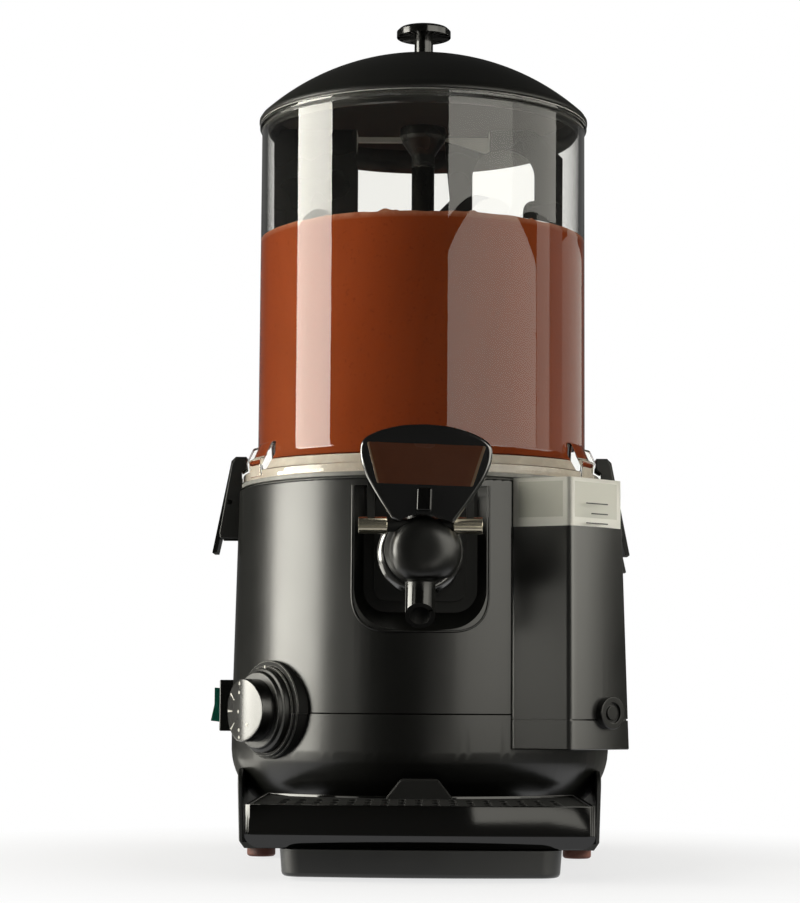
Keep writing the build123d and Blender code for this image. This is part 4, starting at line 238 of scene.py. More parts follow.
class Nodes:
    """Node tree of a material or a world."""

    def __init__(self, owner, output, coordinates):
        owner.use_nodes = True
        self.owner = owner
        self.tree = owner.node_tree
        self.tree.nodes.clear()
        self.output = self.node(output)
        self.where = self.node("ShaderNodeTexCoord").outputs[coordinates]

    def node(self, kind, inputs=None, **settings):
        """New node, whose inputs are linked or set. Colours are written without alpha."""
        made = self.tree.nodes.new(kind)
        for key, value in settings.items():
            setattr(made, key, value)
        for key, value in (inputs or {}).items():
            socket = made.inputs[key]
            if isinstance(value, bpy.types.NodeSocket):
                self.tree.links.new(value, socket)
            else:
                socket.default_value = (*value, 1.0) if socket.type == "RGBA" else value
        return made

    def stretched(self, scale):
        return self.node("ShaderNodeMapping", {"Vector": self.where, "Scale": scale}).outputs["Vector"]

    def noise(self, scale, detail, vector=None, distortion=0.0):
        return self.node("ShaderNodeTexNoise", {
            "Vector": vector or self.where, "Scale": scale, "Detail": detail, "Roughness": 0.55,
            "Distortion": distortion,
        }).outputs["Fac"]

    def between(self, value, low, high, to_low, to_high):
        """Value taken from one range to another."""
        return self.node("ShaderNodeMapRange", {
            "Value": value, "From Min": low, "From Max": high, "To Min": to_low, "To Max": to_high,
        }).outputs["Result"]

    def mottle(self, scale, detail, *ranges):
        """Noise taken from one range to another."""
        return self.between(self.noise(scale, detail), *ranges)

    def math(self, operation, first, second):
        return self.node("ShaderNodeMath", {0: first, 1: second}, operation=operation).outputs["Value"]

    def mix(self, share, first, second):
        """Colour between two, whose sockets stand sixth and seventh."""
        return self.node("ShaderNodeMix", {0: share, 6: first, 7: second}, data_type="RGBA").outputs[2]

    def bump(self, height, strength, distance):
        inputs = {"Height": height, "Strength": strength, "Distance": distance}
        return self.node("ShaderNodeBump", inputs).outputs["Normal"]

    def along(self, axis):
        return self.node("ShaderNodeSeparateXYZ", {"Vector": self.where}).outputs[axis]

    def edges(self, radius):
        """About 1 on edges sharper than a radius, and 0 on flat faces."""
        bevel = self.node("ShaderNodeBevel", {"Radius": radius}, samples=3).outputs["Normal"]
        plain = self.node("ShaderNodeNewGeometry").outputs["Normal"]
        dot = self.node("ShaderNodeVectorMath", {0: bevel, 1: plain}, operation="DOT_PRODUCT")
        return self.between(dot.outputs["Value"], 0.995, 0.86, 0.0, 1.0)

    def glowing(self, colour, strength, kind="Emission"):
        return self.node("ShaderNode" + kind, {"Color": colour, "Strength": strength}).outputs[kind]

    def blend(self, share, first, second):
        """Shader between two."""
        return self.node("ShaderNodeMixShader", {0: share, 1: first, 2: second}).outputs["Shader"]

    def surface(self, inputs):
        return self.node("ShaderNodeBsdfPrincipled", inputs).outputs["BSDF"]

    def show(self, shader):
        self.tree.links.new(shader, self.output.inputs["Surface"])
        return self.owner


def material_nodes(name):
    return Nodes(bpy.data.materials.new(name), "ShaderNodeOutputMaterial", "Object")


def moulded(name, dark, light, rough, grain=1400.0, depth=0.00004, wear=0.35, coat=0.0, specular=0.5,
            polished_below=None):
    """Moulded plastic: mottled colour, uneven gloss, fine spark grain and rubbed edges."""
    s = material_nodes(name)
    colour = s.mix(s.mottle(11, 2, 0.1, 0.9, 0, 1), dark, light)
    rubbed = s.math("MULTIPLY", s.edges(0.0009), s.mottle(160, 3, 0.35, 0.6, 0.25, 1.0))
    worn = tuple(min(1.0, 2.6 * c + 0.02) for c in light)
    colour = s.mix(s.math("MULTIPLY", rubbed, wear), colour, worn)
    gloss = s.mottle(34, 1, 0.0, 1.0, *rough)
    if polished_below:
        gloss = s.math("MULTIPLY", gloss, s.between(s.along("Z"), *polished_below, 0.4, 1.0))
    return s.show(s.surface({
        "Base Color": colour, "Roughness": gloss, "Normal": s.bump(s.noise(grain, 2), 0.35, depth),
        "IOR": 1.5, "Specular IOR Level": specular, "Coat Weight": coat, "Coat Roughness": 0.1,
    }))


def clear_moulding(name, tint, rough=None, ior=1.45, haze=0.0):
    """Clear plastic with faint flow marks, which lets the lamps through. Polished unless it is rough."""
    s = material_nodes(name)
    flow = s.noise(7, 3, vector=s.stretched((1, 1, 0.25)))
    clear = s.surface({
        "Base Color": s.mix(flow, tint, tuple(min(1.0, c * 1.03) for c in tint)),
        "Roughness": s.mottle(40, 1, 0.0, 1.0, *rough) if rough else 0.0,
        "Normal": s.bump(flow, 0.05, 0.0004), "IOR": ior, "Transmission Weight": 1.0 - haze,
    })
    through = s.node("ShaderNodeBsdfTransparent", {"Color": tuple(c * (0.96 - 0.5 * haze) for c in tint)})
    lamp_ray = s.node("ShaderNodeLightPath").outputs["Is Shadow Ray"]
    return s.show(s.blend(lamp_ray, clear, through.outputs["BSDF"]))


def metal(name, colour, rough, streak=(400, 400, 6)):
    """Worked metal with fine streaks along its length."""
    s = material_nodes(name)
    lines = s.noise(1.0, 4, vector=s.stretched(streak))
    dull = tuple(c * 0.72 for c in colour)
    return s.show(s.surface({
        "Base Color": s.mix(s.mottle(60, 4, 0.35, 0.75, 0, 0.6), colour, dull), "Metallic": 1.0,
        "Roughness": s.between(lines, 0.3, 0.7, *rough), "Normal": s.bump(lines, 0.25, 0.00002),
    }))


def rubbery(name, dark, light, rough=(0.55, 0.75), glow_through=0.0):
    """Rubber with a dusty mottle, which may let a little light through."""
    s = material_nodes(name)
    return s.show(s.surface({
        "Base Color": s.mix(s.mottle(90, 5, 0.45, 0.75, 0, 1), dark, light),
        "Roughness": s.mottle(300, 3, 0.3, 0.7, *rough), "Normal": s.bump(s.noise(900, 3), 0.4, 0.0001),
        "Subsurface Weight": glow_through, "Subsurface Radius": (0.003, 0.002, 0.0014),
        "Subsurface Scale": 1.0,
    }))


def chocolate_liquid(name):
    """Drinking chocolate that wets the bowl: red-brown, with slow streaks and a frothy edge."""
    s = material_nodes(name)
    swirl = s.noise(9, 4, vector=s.stretched((1, 1, 0.35)), distortion=1.2)
    colour = s.mix(s.between(swirl, 0.3, 0.7, 0, 1), (0.22, 0.039, 0.0095), (0.27, 0.05, 0.0135))
    colour = s.mix(s.mottle(420, 2, 0.62, 0.72, 0.0, 0.35), colour, (0.12, 0.02, 0.006))
    froth = s.between(s.along("Z"), FROTH[0] / 1000, FROTH[1] / 1000, 0.0, 1.0)
    froth = s.math("MULTIPLY", froth, s.mottle(150, 4, 0.3, 0.6, 0.45, 1.0))
    return s.show(s.surface({
        "Base Color": s.mix(froth, colour, (0.36, 0.16, 0.1)),
        "Roughness": s.mottle(30, 4, 0.3, 0.7, 0.3, 0.45), "Normal": s.bump(s.noise(260, 3), 0.2, 0.0003),
        "Specular IOR Level": 0.08, "Specular Tint": (1.0, 0.4, 0.12),
    }))


def brown_panel(name):
    """Glossy brown panel whose pale slanting ends are a painted highlight."""
    s = material_nodes(name)
    heights = (s.along("Z"), BADGE_BOTTOM / 1000, BADGE_TOP / 1000)
    lean = math.tan(math.radians(SHIELD_LEAN))
    shifts = [(SHIELD_SHIFT + (z - PIN_Z) * lean) / 1000 for z in (BADGE_BOTTOM, BADGE_TOP)]
    middle = s.between(*heights, *shifts)
    half = s.between(*heights, BADGE_BOTTOM_HALF / 1000, BADGE_TOP_HALF / 1000)
    off = s.math("ABSOLUTE", s.math("SUBTRACT", s.along("X"), middle), 0.0)
    inset = s.math("SUBTRACT", half, off)
    colour = s.mix(s.noise(70, 5), (0.2, 0.058, 0.02), (0.235, 0.068, 0.025))
    # Painted highlight: the panel lightens towards its slanting ends and is pale at their very edge.
    colour = s.mix(s.between(inset, 0.0065, 0.0022, 0.0, 1.0), colour, (0.24, 0.075, 0.028))
    colour = s.mix(s.between(inset, 0.0017, 0.0011, 0.0, 0.85), colour, (0.5, 0.33, 0.2))
    return s.show(s.surface({
        "Base Color": colour, "Roughness": s.mottle(60, 1, 0.0, 1.0, 0.22, 0.3),
        "Normal": s.bump(s.noise(700, 2), 0.1, 0.00003),
    }))


def green_cap(name):
    """Green translucent switch cap."""
    s = material_nodes(name)
    return s.show(s.surface({
        "Base Color": s.mix(s.noise(120, 4), (0.003, 0.11, 0.075), (0.008, 0.2, 0.13)),
        "Roughness": s.mottle(200, 3, 0.3, 0.7, 0.12, 0.25), "Normal": s.bump(s.noise(500, 2), 0.15, 0.00005),
        "Subsurface Weight": 0.25, "Subsurface Radius": (0.0005, 0.002, 0.0014), "Subsurface Scale": 1.0,
    }))


COAL = ((0.0045, 0.0047, 0.004), (0.0065, 0.0067, 0.0056))
JET = ((0.004, 0.0042, 0.0036), (0.006, 0.0062, 0.0054))
BLACK = moulded("black_satin", (0.0045, 0.0048, 0.004), (0.007, 0.0072, 0.006), (0.27, 0.31))
BLACK_DULL = moulded("black_dull", (0.0055, 0.0058, 0.0048), (0.0085, 0.0088, 0.0072), (0.36, 0.46))
BLACK_BOX = moulded("black_box", (0.005, 0.0053, 0.0044), (0.0075, 0.0078, 0.0064), (0.26, 0.32),
                    specular=1.0)
BLACK_BALL = moulded("black_tap", *COAL, (0.3, 0.36), polished_below=(0.172, 0.178))
BLACK_GRIP = moulded("black_grip", *COAL, (0.24, 0.3), specular=0.8)
BLACK_GLOSS = moulded("black_gloss", *JET, (0.14, 0.22), grain=900.0, depth=0.00002)
BLACK_TRAY = moulded("black_tray", *JET, (0.05, 0.08), grain=900.0, depth=0.00001)
BLACK_POLISHED = moulded("black_polished", *JET, (0.17, 0.24), grain=900.0, depth=0.00002, coat=1.0,
                         specular=1.0)
BLACK_MATT = moulded("black_matt", (0.003, 0.0032, 0.0028), (0.005, 0.0052, 0.0046), (0.6, 0.75),
                     specular=0.25)
AGITATOR = moulded("agitator_grey", (0.007, 0.0074, 0.0066), (0.013, 0.0135, 0.0125), (0.22, 0.34), wear=0.9)
CLEAR = clear_moulding("clear_bowl", (0.985, 0.98, 0.95))
CLEAR_WET = clear_moulding("clear_bowl_wetted", (0.99, 0.985, 0.96), ior=1.03)
TANK = clear_moulding("frosted_tank", (0.95, 0.94, 0.88), (0.2, 0.3), haze=0.95)
TANK_PANE = clear_moulding("frosted_pane", (0.8, 0.8, 0.73), (0.2, 0.3), haze=0.85)
# Painted highlight: a pale, hazy band for the bowl's rim.
PAINTED_RIM_HIGHLIGHT = clear_moulding("rim_painted_highlight", (0.9, 0.89, 0.85), (0.3, 0.45), haze=0.6)
SEAL = rubbery("grey_seal", (0.15, 0.15, 0.135), (0.24, 0.235, 0.215), (0.4, 0.6))
PALE_SEAL = rubbery("pale_seal", (0.5, 0.44, 0.39), (0.64, 0.59, 0.53), (0.35, 0.5), glow_through=0.3)
BLACK_RUBBER = rubbery("black_rubber", (0.012, 0.012, 0.012), (0.03, 0.03, 0.029))
FOOT = rubbery("foot_rubber", (0.1, 0.028, 0.016), (0.16, 0.05, 0.03))
STEEL = metal("brushed_steel", (0.6, 0.6, 0.58), (0.22, 0.36))
# Painted highlight: a pale steel that makes the paddles' arms read bright, like light on their tops.
ARM_HIGHLIGHT_STEEL = metal("arm_painted_highlight", (0.72, 0.72, 0.69), (0.3, 0.42), streak=(6, 400, 400))
DARK_STEEL = metal("stirrer_steel", (0.36, 0.36, 0.35), (0.24, 0.4))
# Steel darkened to near black, for the centre tube.
DARKENED_TUBE_STEEL = metal("darkened_tube", (0.018, 0.018, 0.015), (0.2, 0.42), streak=(60, 60, 22))
NICKEL = metal("warm_nickel", (0.62, 0.57, 0.45), (0.2, 0.32), streak=(8, 500, 500))
BRASS = metal("turned_brass", (0.7, 0.48, 0.18), (0.22, 0.36))
MOTOR = metal("motor_zinc", (0.32, 0.33, 0.34), (0.35, 0.5))
WHITE = moulded("white_nylon", (0.62, 0.6, 0.54), (0.72, 0.7, 0.64), (0.4, 0.55), wear=0.1)
MARK = moulded("white_print", (0.62, 0.6, 0.55), (0.74, 0.72, 0.67), (0.4, 0.55), wear=0.0)
RUBBED = moulded("rubbed_black", (0.26, 0.26, 0.24), (0.36, 0.36, 0.33), (0.3, 0.42), wear=0.0)
GREY_MARK = moulded("grey_print", (0.02, 0.02, 0.019), (0.03, 0.03, 0.028), (0.4, 0.55), wear=0.0)
CHOCOLATE = chocolate_liquid("drinking_chocolate")
PANEL = brown_panel("brown_panel")
GREEN = green_cap("green_cap")


# Meshes

BODY_OF = {node: body for body, nodes in frame["record"]["behaviour"]["bodies"].items() for node in nodes}


def shown_object(name, data):
    made = bpy.data.objects.new(name, data)
    bpy.context.scene.collection.objects.link(made)
    return made


def new_piece(name, mesh, material, body, replaced=(), even=False):
    """Object of the part that rides on a body and may stand for CAD nodes."""
    piece = shown_object(name, mesh)
    mesh.materials.append(material)
    if even:
        shading = piece.modifiers.new("even_shading", "WEIGHTED_NORMAL")
        shading.keep_sharp = True
    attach(piece, body)
    if replaced:
        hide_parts(*replaced)
    return piece


def stand_in(node, mesh, material, even=False):
    """Piece that takes a CAD node's place on its body."""
    return new_piece(node + "_moulding", mesh, material, BODY_OF[node], (node,), even)


def smoothed(mesh):
    mesh.shade_smooth()
    mesh.set_sharp_from_angle(angle=math.radians(SHARP))
    return mesh


def finished(bm, name):
    """Mesh of a bmesh, with outward faces and smooth shading between sharp edges."""
    bmesh.ops.recalc_face_normals(bm, faces=bm.faces)
    mesh = bpy.data.meshes.new(name)
    bm.to_mesh(mesh)
    bm.free()
    return smoothed(mesh)


def bevelled(bm, picked, width, segments=2, material=-1):
    bmesh.ops.bevel(bm, geom=picked, offset=width, offset_type="OFFSET", segments=segments, profile=0.5,
                    affect="EDGES", clamp_overlap=True, loop_slide=True, material=material)
    bmesh.ops.remove_doubles(bm, verts=bm.verts[:], dist=4e-6)
    bmesh.ops.dissolve_degenerate(bm, dist=4e-6, edges=bm.edges[:])


def sharp_edges(bm):
    return [e for e in bm.edges if len(e.link_faces) == 2 and e.calc_face_angle(0) > math.radians(CREASE)]


def bisected(bm, point, normal, dist, **options):
    whole = bm.verts[:] + bm.edges[:] + bm.faces[:]
    return bmesh.ops.bisect_plane(bm, geom=whole, dist=dist, plane_co=point, plane_no=normal, **options)


def merged(name, meshes):
    """One mesh of several."""
    bm = bmesh.new()
    for mesh in meshes:
        bm.from_mesh(mesh)
        bpy.data.meshes.remove(mesh)
    return finished(bm, name)


def filleted(corners, steps=6, closed=False):
    """Points of an outline whose (u, v, radius) corners are rounded."""
    points = []
    count = len(corners)
    for index, (u, v, radius) in enumerate(corners):
        here = Vector((u, v))
        if radius <= 0 or (not closed and index in (0, count - 1)):
            points.append(here)
            continue
        before = Vector(corners[index - 1][:2]) - here
        after = Vector(corners[(index + 1) % count][:2]) - here
        reach = min(radius / math.tan(before.angle(after) / 2), 0.49 * before.length, 0.49 * after.length)
        start = here + before.normalized() * reach
        end = here + after.normalized() * reach
        for step in range(steps + 1):
            t = step / steps
            points.append(start * (1 - t) ** 2 + here * 2 * t * (1 - t) + end * t ** 2)
    return points


def curve_through(points, steps=4):
    """Smooth line through points."""
    ends = [Vector(p) for p in (points[0], *points, points[-1])]
    line = []
    for a, b, c, d in zip(ends, ends[1:], ends[2:], ends[3:]):
        for step in range(steps):
            t = step / steps
            line.append(0.5 * (2 * b + (c - a) * t + (2 * a - 5 * b + 4 * c - d) * t ** 2
                               + (3 * b - a - 3 * c + d) * t ** 3))
    return line + [ends[-1]]


def drawn_in(outline, reach, shares):
    """Outline moved inwards along the bisectors of its corners, each point by its share of a reach."""
    area = sum(a[0] * b[1] - b[0] * a[1] for a, b in zip(outline, outline[1:] + outline[:1]))
    turn = 1 if area > 0 else -1
    moved = []
    for k, point in enumerate(outline):
        here = Vector(point)
        before = (here - Vector(outline[k - 1])).normalized()
        after = (Vector(outline[(k + 1) % len(outline)]) - here).normalized()
        inward = Vector((-before.y - after.y, before.x + after.x)) * turn
        share = max(inward.length_squared / 2, 0.6)
        moved.append(here + inward * reach * shares[k] / share)
    return moved


def skin(bm, rings):
    """Faces between rings of as many points, or of one point."""
    for low, high in zip(rings, rings[1:]):
        count = max(len(low), len(high))
        for k in range(count):
            n = (k + 1) % count
            if len(low) == 1:
                bm.faces.new((low[0], high[n], high[k]))
            elif len(high) == 1:
                bm.faces.new((low[k], low[n], high[0]))
            else:
                bm.faces.new((low[k], low[n], high[n], high[k]))


def slab(name, outline, low, high, spot, edge=0.0, segments=3, shares=None):
    """Plate of an outline between two depths, with rounded rims, at each rim each point by its share."""
    bm = bmesh.new()
    outline = [(u, v) for u, v in outline]
    low_shares, high_shares = shares or ([1.0] * len(outline), [1.0] * len(outline))
    ahead = 1 if high > low else -1
    turns = [math.pi / 2 * step / segments for step in range(segments + 1 if edge else 1)]
    levels = [(edge * (1 - math.sin(turn)), edge * (1 - math.cos(turn))) for turn in turns]
    rims = [(inset, low + ahead * depth, low_shares) for inset, depth in levels]
    rims += [(inset, high - ahead * depth, high_shares) for inset, depth in levels[::-1]]
    rings = []
    for inset, depth, given in rims:
        rings.append([bm.verts.new(spot(u, v, depth)) for u, v in drawn_in(outline, inset, given)])
    bm.faces.new(rings[0])
    bm.faces.new(rings[-1][::-1])
    skin(bm, [ring[::-1] for ring in rings])
    return finished(bm, name)


def lathe(name, profile, segments=160, closed=False, spot=place, wave=None):
    """Surface of revolution of (r, z) points about the bowl axis, or about another by a placing function."""
    bm = bmesh.new()
    rings = []
    for r, z in profile:
        if r < 1e-6:
            rings.append([bm.verts.new(spot(0, 0, z))])
            continue
        ring = []
        for k in range(segments):
            angle = 2 * math.pi * k / segments
            rr, zz = wave(r, z, angle) if wave else (r, z)
            ring.append(bm.verts.new(spot(rr * math.sin(angle), -rr * math.cos(angle), zz)))
        rings.append(ring)
    skin(bm, rings + rings[:1] if closed else rings)
    return finished(bm, name)


def tube(name, path, normals, radius, sides=10):
    """Round bar along a path, given the outward direction at each point."""
    bm = bmesh.new()
    angles = [2 * math.pi * step / sides for step in range(sides)]
    rings = []
    for k, point in enumerate(path):
        ahead = (path[min(k + 1, len(path) - 1)] - path[max(k - 1, 0)]).normalized()
        out = (normals[k] - ahead * normals[k].dot(ahead)).normalized()
        side = ahead.cross(out)
        spokes = [out * math.cos(angle) + side * math.sin(angle) for angle in angles]
        rings.append([bm.verts.new(point + spoke * radius / 1000) for spoke in spokes])
    skin(bm, rings)
    bm.faces.new(rings[0][::-1])
    bm.faces.new(rings[-1])
    return finished(bm, name)


def united(mesh, other):
    """Mesh joined with another into one skin."""
    base, tool = shown_object("join_base", mesh), shown_object("join_tool", other)
    join = base.modifiers.new("join", "BOOLEAN")
    join.operation = "UNION"
    join.solver = "EXACT"
    join.object = tool
    joined = bpy.data.meshes.new_from_object(base.evaluated_get(bpy.context.evaluated_depsgraph_get()))
    bpy.data.objects.remove(base)
    bpy.data.objects.remove(tool)
    return smoothed(joined)


def copy_of(node, warp=None, slices=()):
    """Welded copy of a CAD node's shape, cut along planes and moved by a warp if they are given."""
    data = frame["nodes"][node].data
    bm = bmesh.new()
    verts = [bm.verts.new(v.co) for v in data.vertices]
    for polygon in data.polygons:
        try:
            bm.faces.new([verts[i] for i in polygon.vertices])
        except ValueError:
            continue
    bmesh.ops.remove_doubles(bm, verts=bm.verts, dist=3e-6)
    bmesh.ops.dissolve_degenerate(bm, dist=2e-6, edges=bm.edges)
    bmesh.ops.dissolve_limit(bm, angle_limit=math.radians(0.6), use_dissolve_boundaries=False,
                             verts=bm.verts, edges=bm.edges, delimit=set())
    for point, normal in slices:
        bisected(bm, point, normal, 1e-6)
    if warp:
        for v in bm.verts:
            v.co = place(*warp(*from_row(v.co)))
    return bm


def is_upright(edge):
    run = edge.verts[1].co - edge.verts[0].co
    rise, lean = UPRIGHT
    return abs(run.z) > rise and math.hypot(run.x, run.y) < lean * abs(run.z)


def middle(edge):
    """Place of an edge's middle in plan."""
    return Vector(from_row((edge.verts[0].co + edge.verts[1].co) / 2)[:2])


def rounded(node, material, width, warp=None, slices=(), corner=None, rim=None):
    """Piece that stands for a CAD node: its shape, moved by a warp if one is given, with rounded edges.

    A corner is a place in plan, a distance and a width: the upright edges near it are rounded more. A rim is
    the rounded edges' own material.
    """
    bm = copy_of(node, warp, slices)
    if corner:
        spot, near, wide = corner
        uprights = [e for e in sharp_edges(bm) if is_upright(e) and (middle(e) - Vector(spot)).length < near]
        bevelled(bm, uprights, wide, segments=4)
    bevelled(bm, sharp_edges(bm), width, material=1 if rim else -1)
    piece = stand_in(node, finished(bm, node + "_shape"), material, even=True)
    if rim:
        piece.data.materials.append(rim)
    return piece


def repaint(piece, material, test):
    """Gives another material to the faces whose middles pass a test."""
    piece.data.materials.append(material)
    for polygon in piece.data.polygons:
        if test(*from_row(polygon.center)):
            polygon.material_index = len(piece.data.materials) - 1


def paint(node, material):
    """CAD node shown as it is, with a node material."""
    shown = frame["nodes"][node]
    shown.data.materials.clear()
    shown.data.materials.append(material)


# Pieces made from their CAD shapes, with rounded edges. Warps take and give a point about the bowl axis.


def part_way(value, start, end):
    """Share of the way from a start to an end, from 0 to 1."""
    return min(max((value - start) / (end - start), 0.0), 1.0)


def eased(value, start, end):
    """Smooth step from 0 to 1 between two values."""
    t = part_way(value, start, end)
    return t * t * (3 - 2 * t)


def slim_base(x, y, z):
    """Draws the base's sides in a little, more at their foot, and raises the top of the tray's shelf."""
    start, share, taper = BASE_PINCH
    if abs(x) > start:
        x = math.copysign(start + (abs(x) - start) * (share - taper * (1 - z / BASE_TOP)), x)
    if y < -TRAY_REAR:
        left, taper = SHELF_DRAW
        x *= (left if x < 0 else 1.0) - taper * (1 - z / SHELF_TOP)
        if z > SHELF_MIDDLE:
            z += TRAY_RAISE
    return x, y, z


def near_feet(x, y, z):
    return x - math.copysign(FOOT_INSET, x), y, z


def crisp_tray(x, y, z):
    """Flattens the tray's rounded front corners into bevels, and raises its floor."""
    corner_x, corner_y = TRAY_CORNER
    across, ahead = abs(x) - corner_x, corner_y - y
    if across > 0 and ahead > 0:
        share = math.cos(math.pi / 4) / math.cos(math.atan2(across, ahead) - math.pi / 4)
        x = math.copysign(corner_x + across * share, x)
        y = corner_y - ahead * share
    front = -(TRAY_FRONT + TRAY_BOW * (1 - (x / TRAY_HALF) ** 2))
    if z < TRAY_BAND and y - front < TRAY_BAND - TRAY_BOTTOM + 0.1:
        y = front + (TRAY_BAND - z) * BAND_SLOPE
    raised = TRAY_RAISE * part_way(z, TRAY_TOP, TRAY_TOP - TRAY_EASE)
    lowered = TRAY_LOWER * part_way(z, SHELF_TOP, TRAY_TOP)
    return x * (TRAY_LEFT if x < 0 else 1.0), y, z + raised - lowered


def low_grid(x, y, z):
    """Lowers the grid with the tray's rim, but not the top of its tab."""
    return x * (TRAY_LEFT if x < 0 else 1.0), y, z - TRAY_LOWER * part_way(z, TAB_TOP, TRAY_TOP)


def flared(x, y, z):
    """Widens the casing's sides towards its foot, except round the thermostat."""
    bearing = abs(math.degrees(math.atan2(x, -y)))
    side = eased(bearing, *FLARE_IN) * (1 - eased(bearing, *FLARE_OUT))
    dial = at_bearing(CONTROL_BEARING, 0, CASING_R, CONTROL_Z)
    side *= eased((place(x, y, z) - dial).length * 1000, *FLARE_CLEAR)
    grown = 1 + FLARE / CASING_R * side * part_way(z, CASING_TOP, SEAM_Z)
    return x * grown, y * grown, z


def long_stem(x, y, z):
    """Lets the lid knob's stem down to the dome, and the underside of its rim down to the ribs."""
    rim, under, low = KNOB_UNDER
    if math.hypot(x, y) > rim and z < under:
        return x, y, low
    return x, y, z - STEM_DROP if z < STEM_FOOT else z


def turned_box(x, y, z):
    """Turns the water box's front left face so that it starts at the casing."""
    wanted, made = BOX_STEP
    turned = (1 - part_way(x, BOX_LEFT, BOX_FRONT[0])) * part_way(y, wanted + 0.6, made)
    return x, y + (wanted - made) * turned, z


def bowed_face(x, y, z):
    """The turned box, with its right face bowed out."""
    run = Vector(BOX_RIGHT) - Vector(BOX_FRONT)
    out = Vector((run.y, -run.x)).normalized()
    offset = Vector((x, y)) - Vector(BOX_FRONT)
    along = offset.dot(run) / run.length_squared
    if 0 < along < 1 and abs(offset.dot(out)) < 0.5:
        bulge = BOX_BULGE * 4 * along * (1 - along)
        return x + out.x * bulge, y + out.y * bulge, z
    return turned_box(x, y, z)


def bowed_box(x, y, z):
    """The bowed box, with its right side leaning in and its bottom raised."""
    x, y, z = bowed_face(x, y, z)
    rise = (z - BOX_LOW) / (BOX_HIGH - BOX_LOW)
    along = part_way(x, BOX_FRONT[0], BOX_RIGHT[0])
    return x - BOX_DRAW * rise * along, y, z + BOX_LIFT * max(1 - 10 * rise, 0.0)


def turned_tank(x, y, z):
    """Turns the tank with the box, draws its side in and lets its top down."""
    x, y, z = turned_box(x, y, z)
    start, end, draw = TANK_SIDE
    return x - draw * part_way(x, start, end), y, z - TANK_TOP_DROP if z > TANK_SHOULDER else z


def flat_fronted(x, y, z):
    """Flattens the front of the tap's ball."""
    ahead, across, rise = (BALL_Y - y) / BALL_R, x / BALL_R, (z - BALL_Z) / BALL_R
    if ahead <= 0 or abs(math.sqrt(ahead ** 2 + across ** 2 + rise ** 2) - 1) > BALL_NEAR:
        return x, y, z
    power = BALL_SQUARE + BALL_LEFT_SQUARE * part_way(-1.4 * across, 0, 1)
    free = part_way(z, BALL_FOOT, BALL_FOOT + BALL_EASE)
    grown = 1 + ((ahead ** power + math.hypot(across, rise) ** power) ** (-1 / power) - 1) * free
    right, down = BALL_SHIFT
    moved = free * min(ahead / 0.3, 1.0)
    y, z = BALL_Y + (y - BALL_Y) * grown, BALL_Z + (z - BALL_Z) * grown
    return x * grown + right * moved, y, z - down * moved


def on_arm(x, y, z):
    return abs(x) < ARM_REACH and z > ARM_FOOT - 4


def slim_arm(x, y, z):
    """Slims the paddles' arms, and brings them in to the hub."""
    if on_arm(x, y, z):
        root, share = ARM_ROOT
        return x * (share if abs(x) < root else 1.0), y, ARM_LOW + (z - ARM_FOOT) * ARM_SLIM
    return x, y, z


def stout_blade(x, y, z):
    """Fills the outer top corner of the broad paddle, widens it and slims its arm."""
    in_corner = x < BLADE_CORNER[0] and z > BLADE_CORNER[1]
    if x < BLADE_EDGE:
        return x - BLADE_WIDER, y, z + CORNER_RISE if in_corner else z
    return (x - CORNER_OUT, y, z) if in_corner else slim_arm(x, y, z)


BOX_RUN = Vector((*BOX_RIGHT, 0)) - Vector((*BOX_FRONT, 0))
BOX_SLICES = [(place(*(Vector((*BOX_FRONT, 0)) + BOX_RUN * step / 10)), BOX_RUN.normalized())
              for step in range(1, 10)]
ARM_SLICES = [(place(x, 0, 0), (1, 0, 0))
              for x in (-ARM_REACH - 0.1, 1 - ARM_REACH, ARM_REACH - 1, ARM_REACH + 0.1)]
ROUNDED = {
    "upper_casing": (BLACK, 0.0007, flared), "lower_casing": (BLACK, 0.0007, flared),
    "base_frame": (BLACK_DULL, 0.0006, slim_base), "lid_knob": (BLACK_GLOSS, 0.0005, long_stem),
    "left_paddle": (AGITATOR, 0.0007, stout_blade, ARM_SLICES),
    "right_paddle": (AGITATOR, 0.0007, slim_arm, ARM_SLICES), "tap_plate": (BLACK_MATT, 0.0005),
    "tap_ring": (BLACK_POLISHED, 0.0055), "tap_body": (BLACK_BALL, 0.0005, flat_fronted),
    "tap_cap": (BLACK_BALL, 0.0006), "tap_pin": (BLACK_MATT, 0.0003), "pin_sleeves": (NICKEL, 0.0005),
    "left_latch": (BLACK, 0.0006), "right_latch": (BLACK, 0.0006), "latch_pins": (STEEL, 0.0003),
    "thermostat_bezel": (BLACK_MATT, 0.0008), "switch_frame": (BLACK_GLOSS, 0.0005),
    "rocker": (GREEN, 0.0007), "box_cover": (BLACK_BOX, 0.0006, bowed_box, BOX_SLICES),
    "drain_plug": (BLACK, 0.0004), "drip_tray": (BLACK_TRAY, 0.0006, crisp_tray),
    "drip_grid": (BLACK_MATT, 0.0004, low_grid), "rubber_feet": (FOOT, 0.0005, near_feet),
    "cable_gland": (BLACK_DULL, 0.0005), "inner_pot": (STEEL, 0.0004), "centre_tube": (DARKENED_TUBE_STEEL, 0.0003),
    "bowl_gasket": (SEAL, 0.0005),
}
DETAILS = {
    "box_cover": {"corner": (BOX_FRONT, *BOX_CORNER)}, "thermostat_bezel": {"rim": RUBBED},
    "upper_casing": {"rim": BLACK_MATT},
}
moulding = {node: rounded(node, *finish, **DETAILS.get(node, {})) for node, finish in ROUNDED.items()}
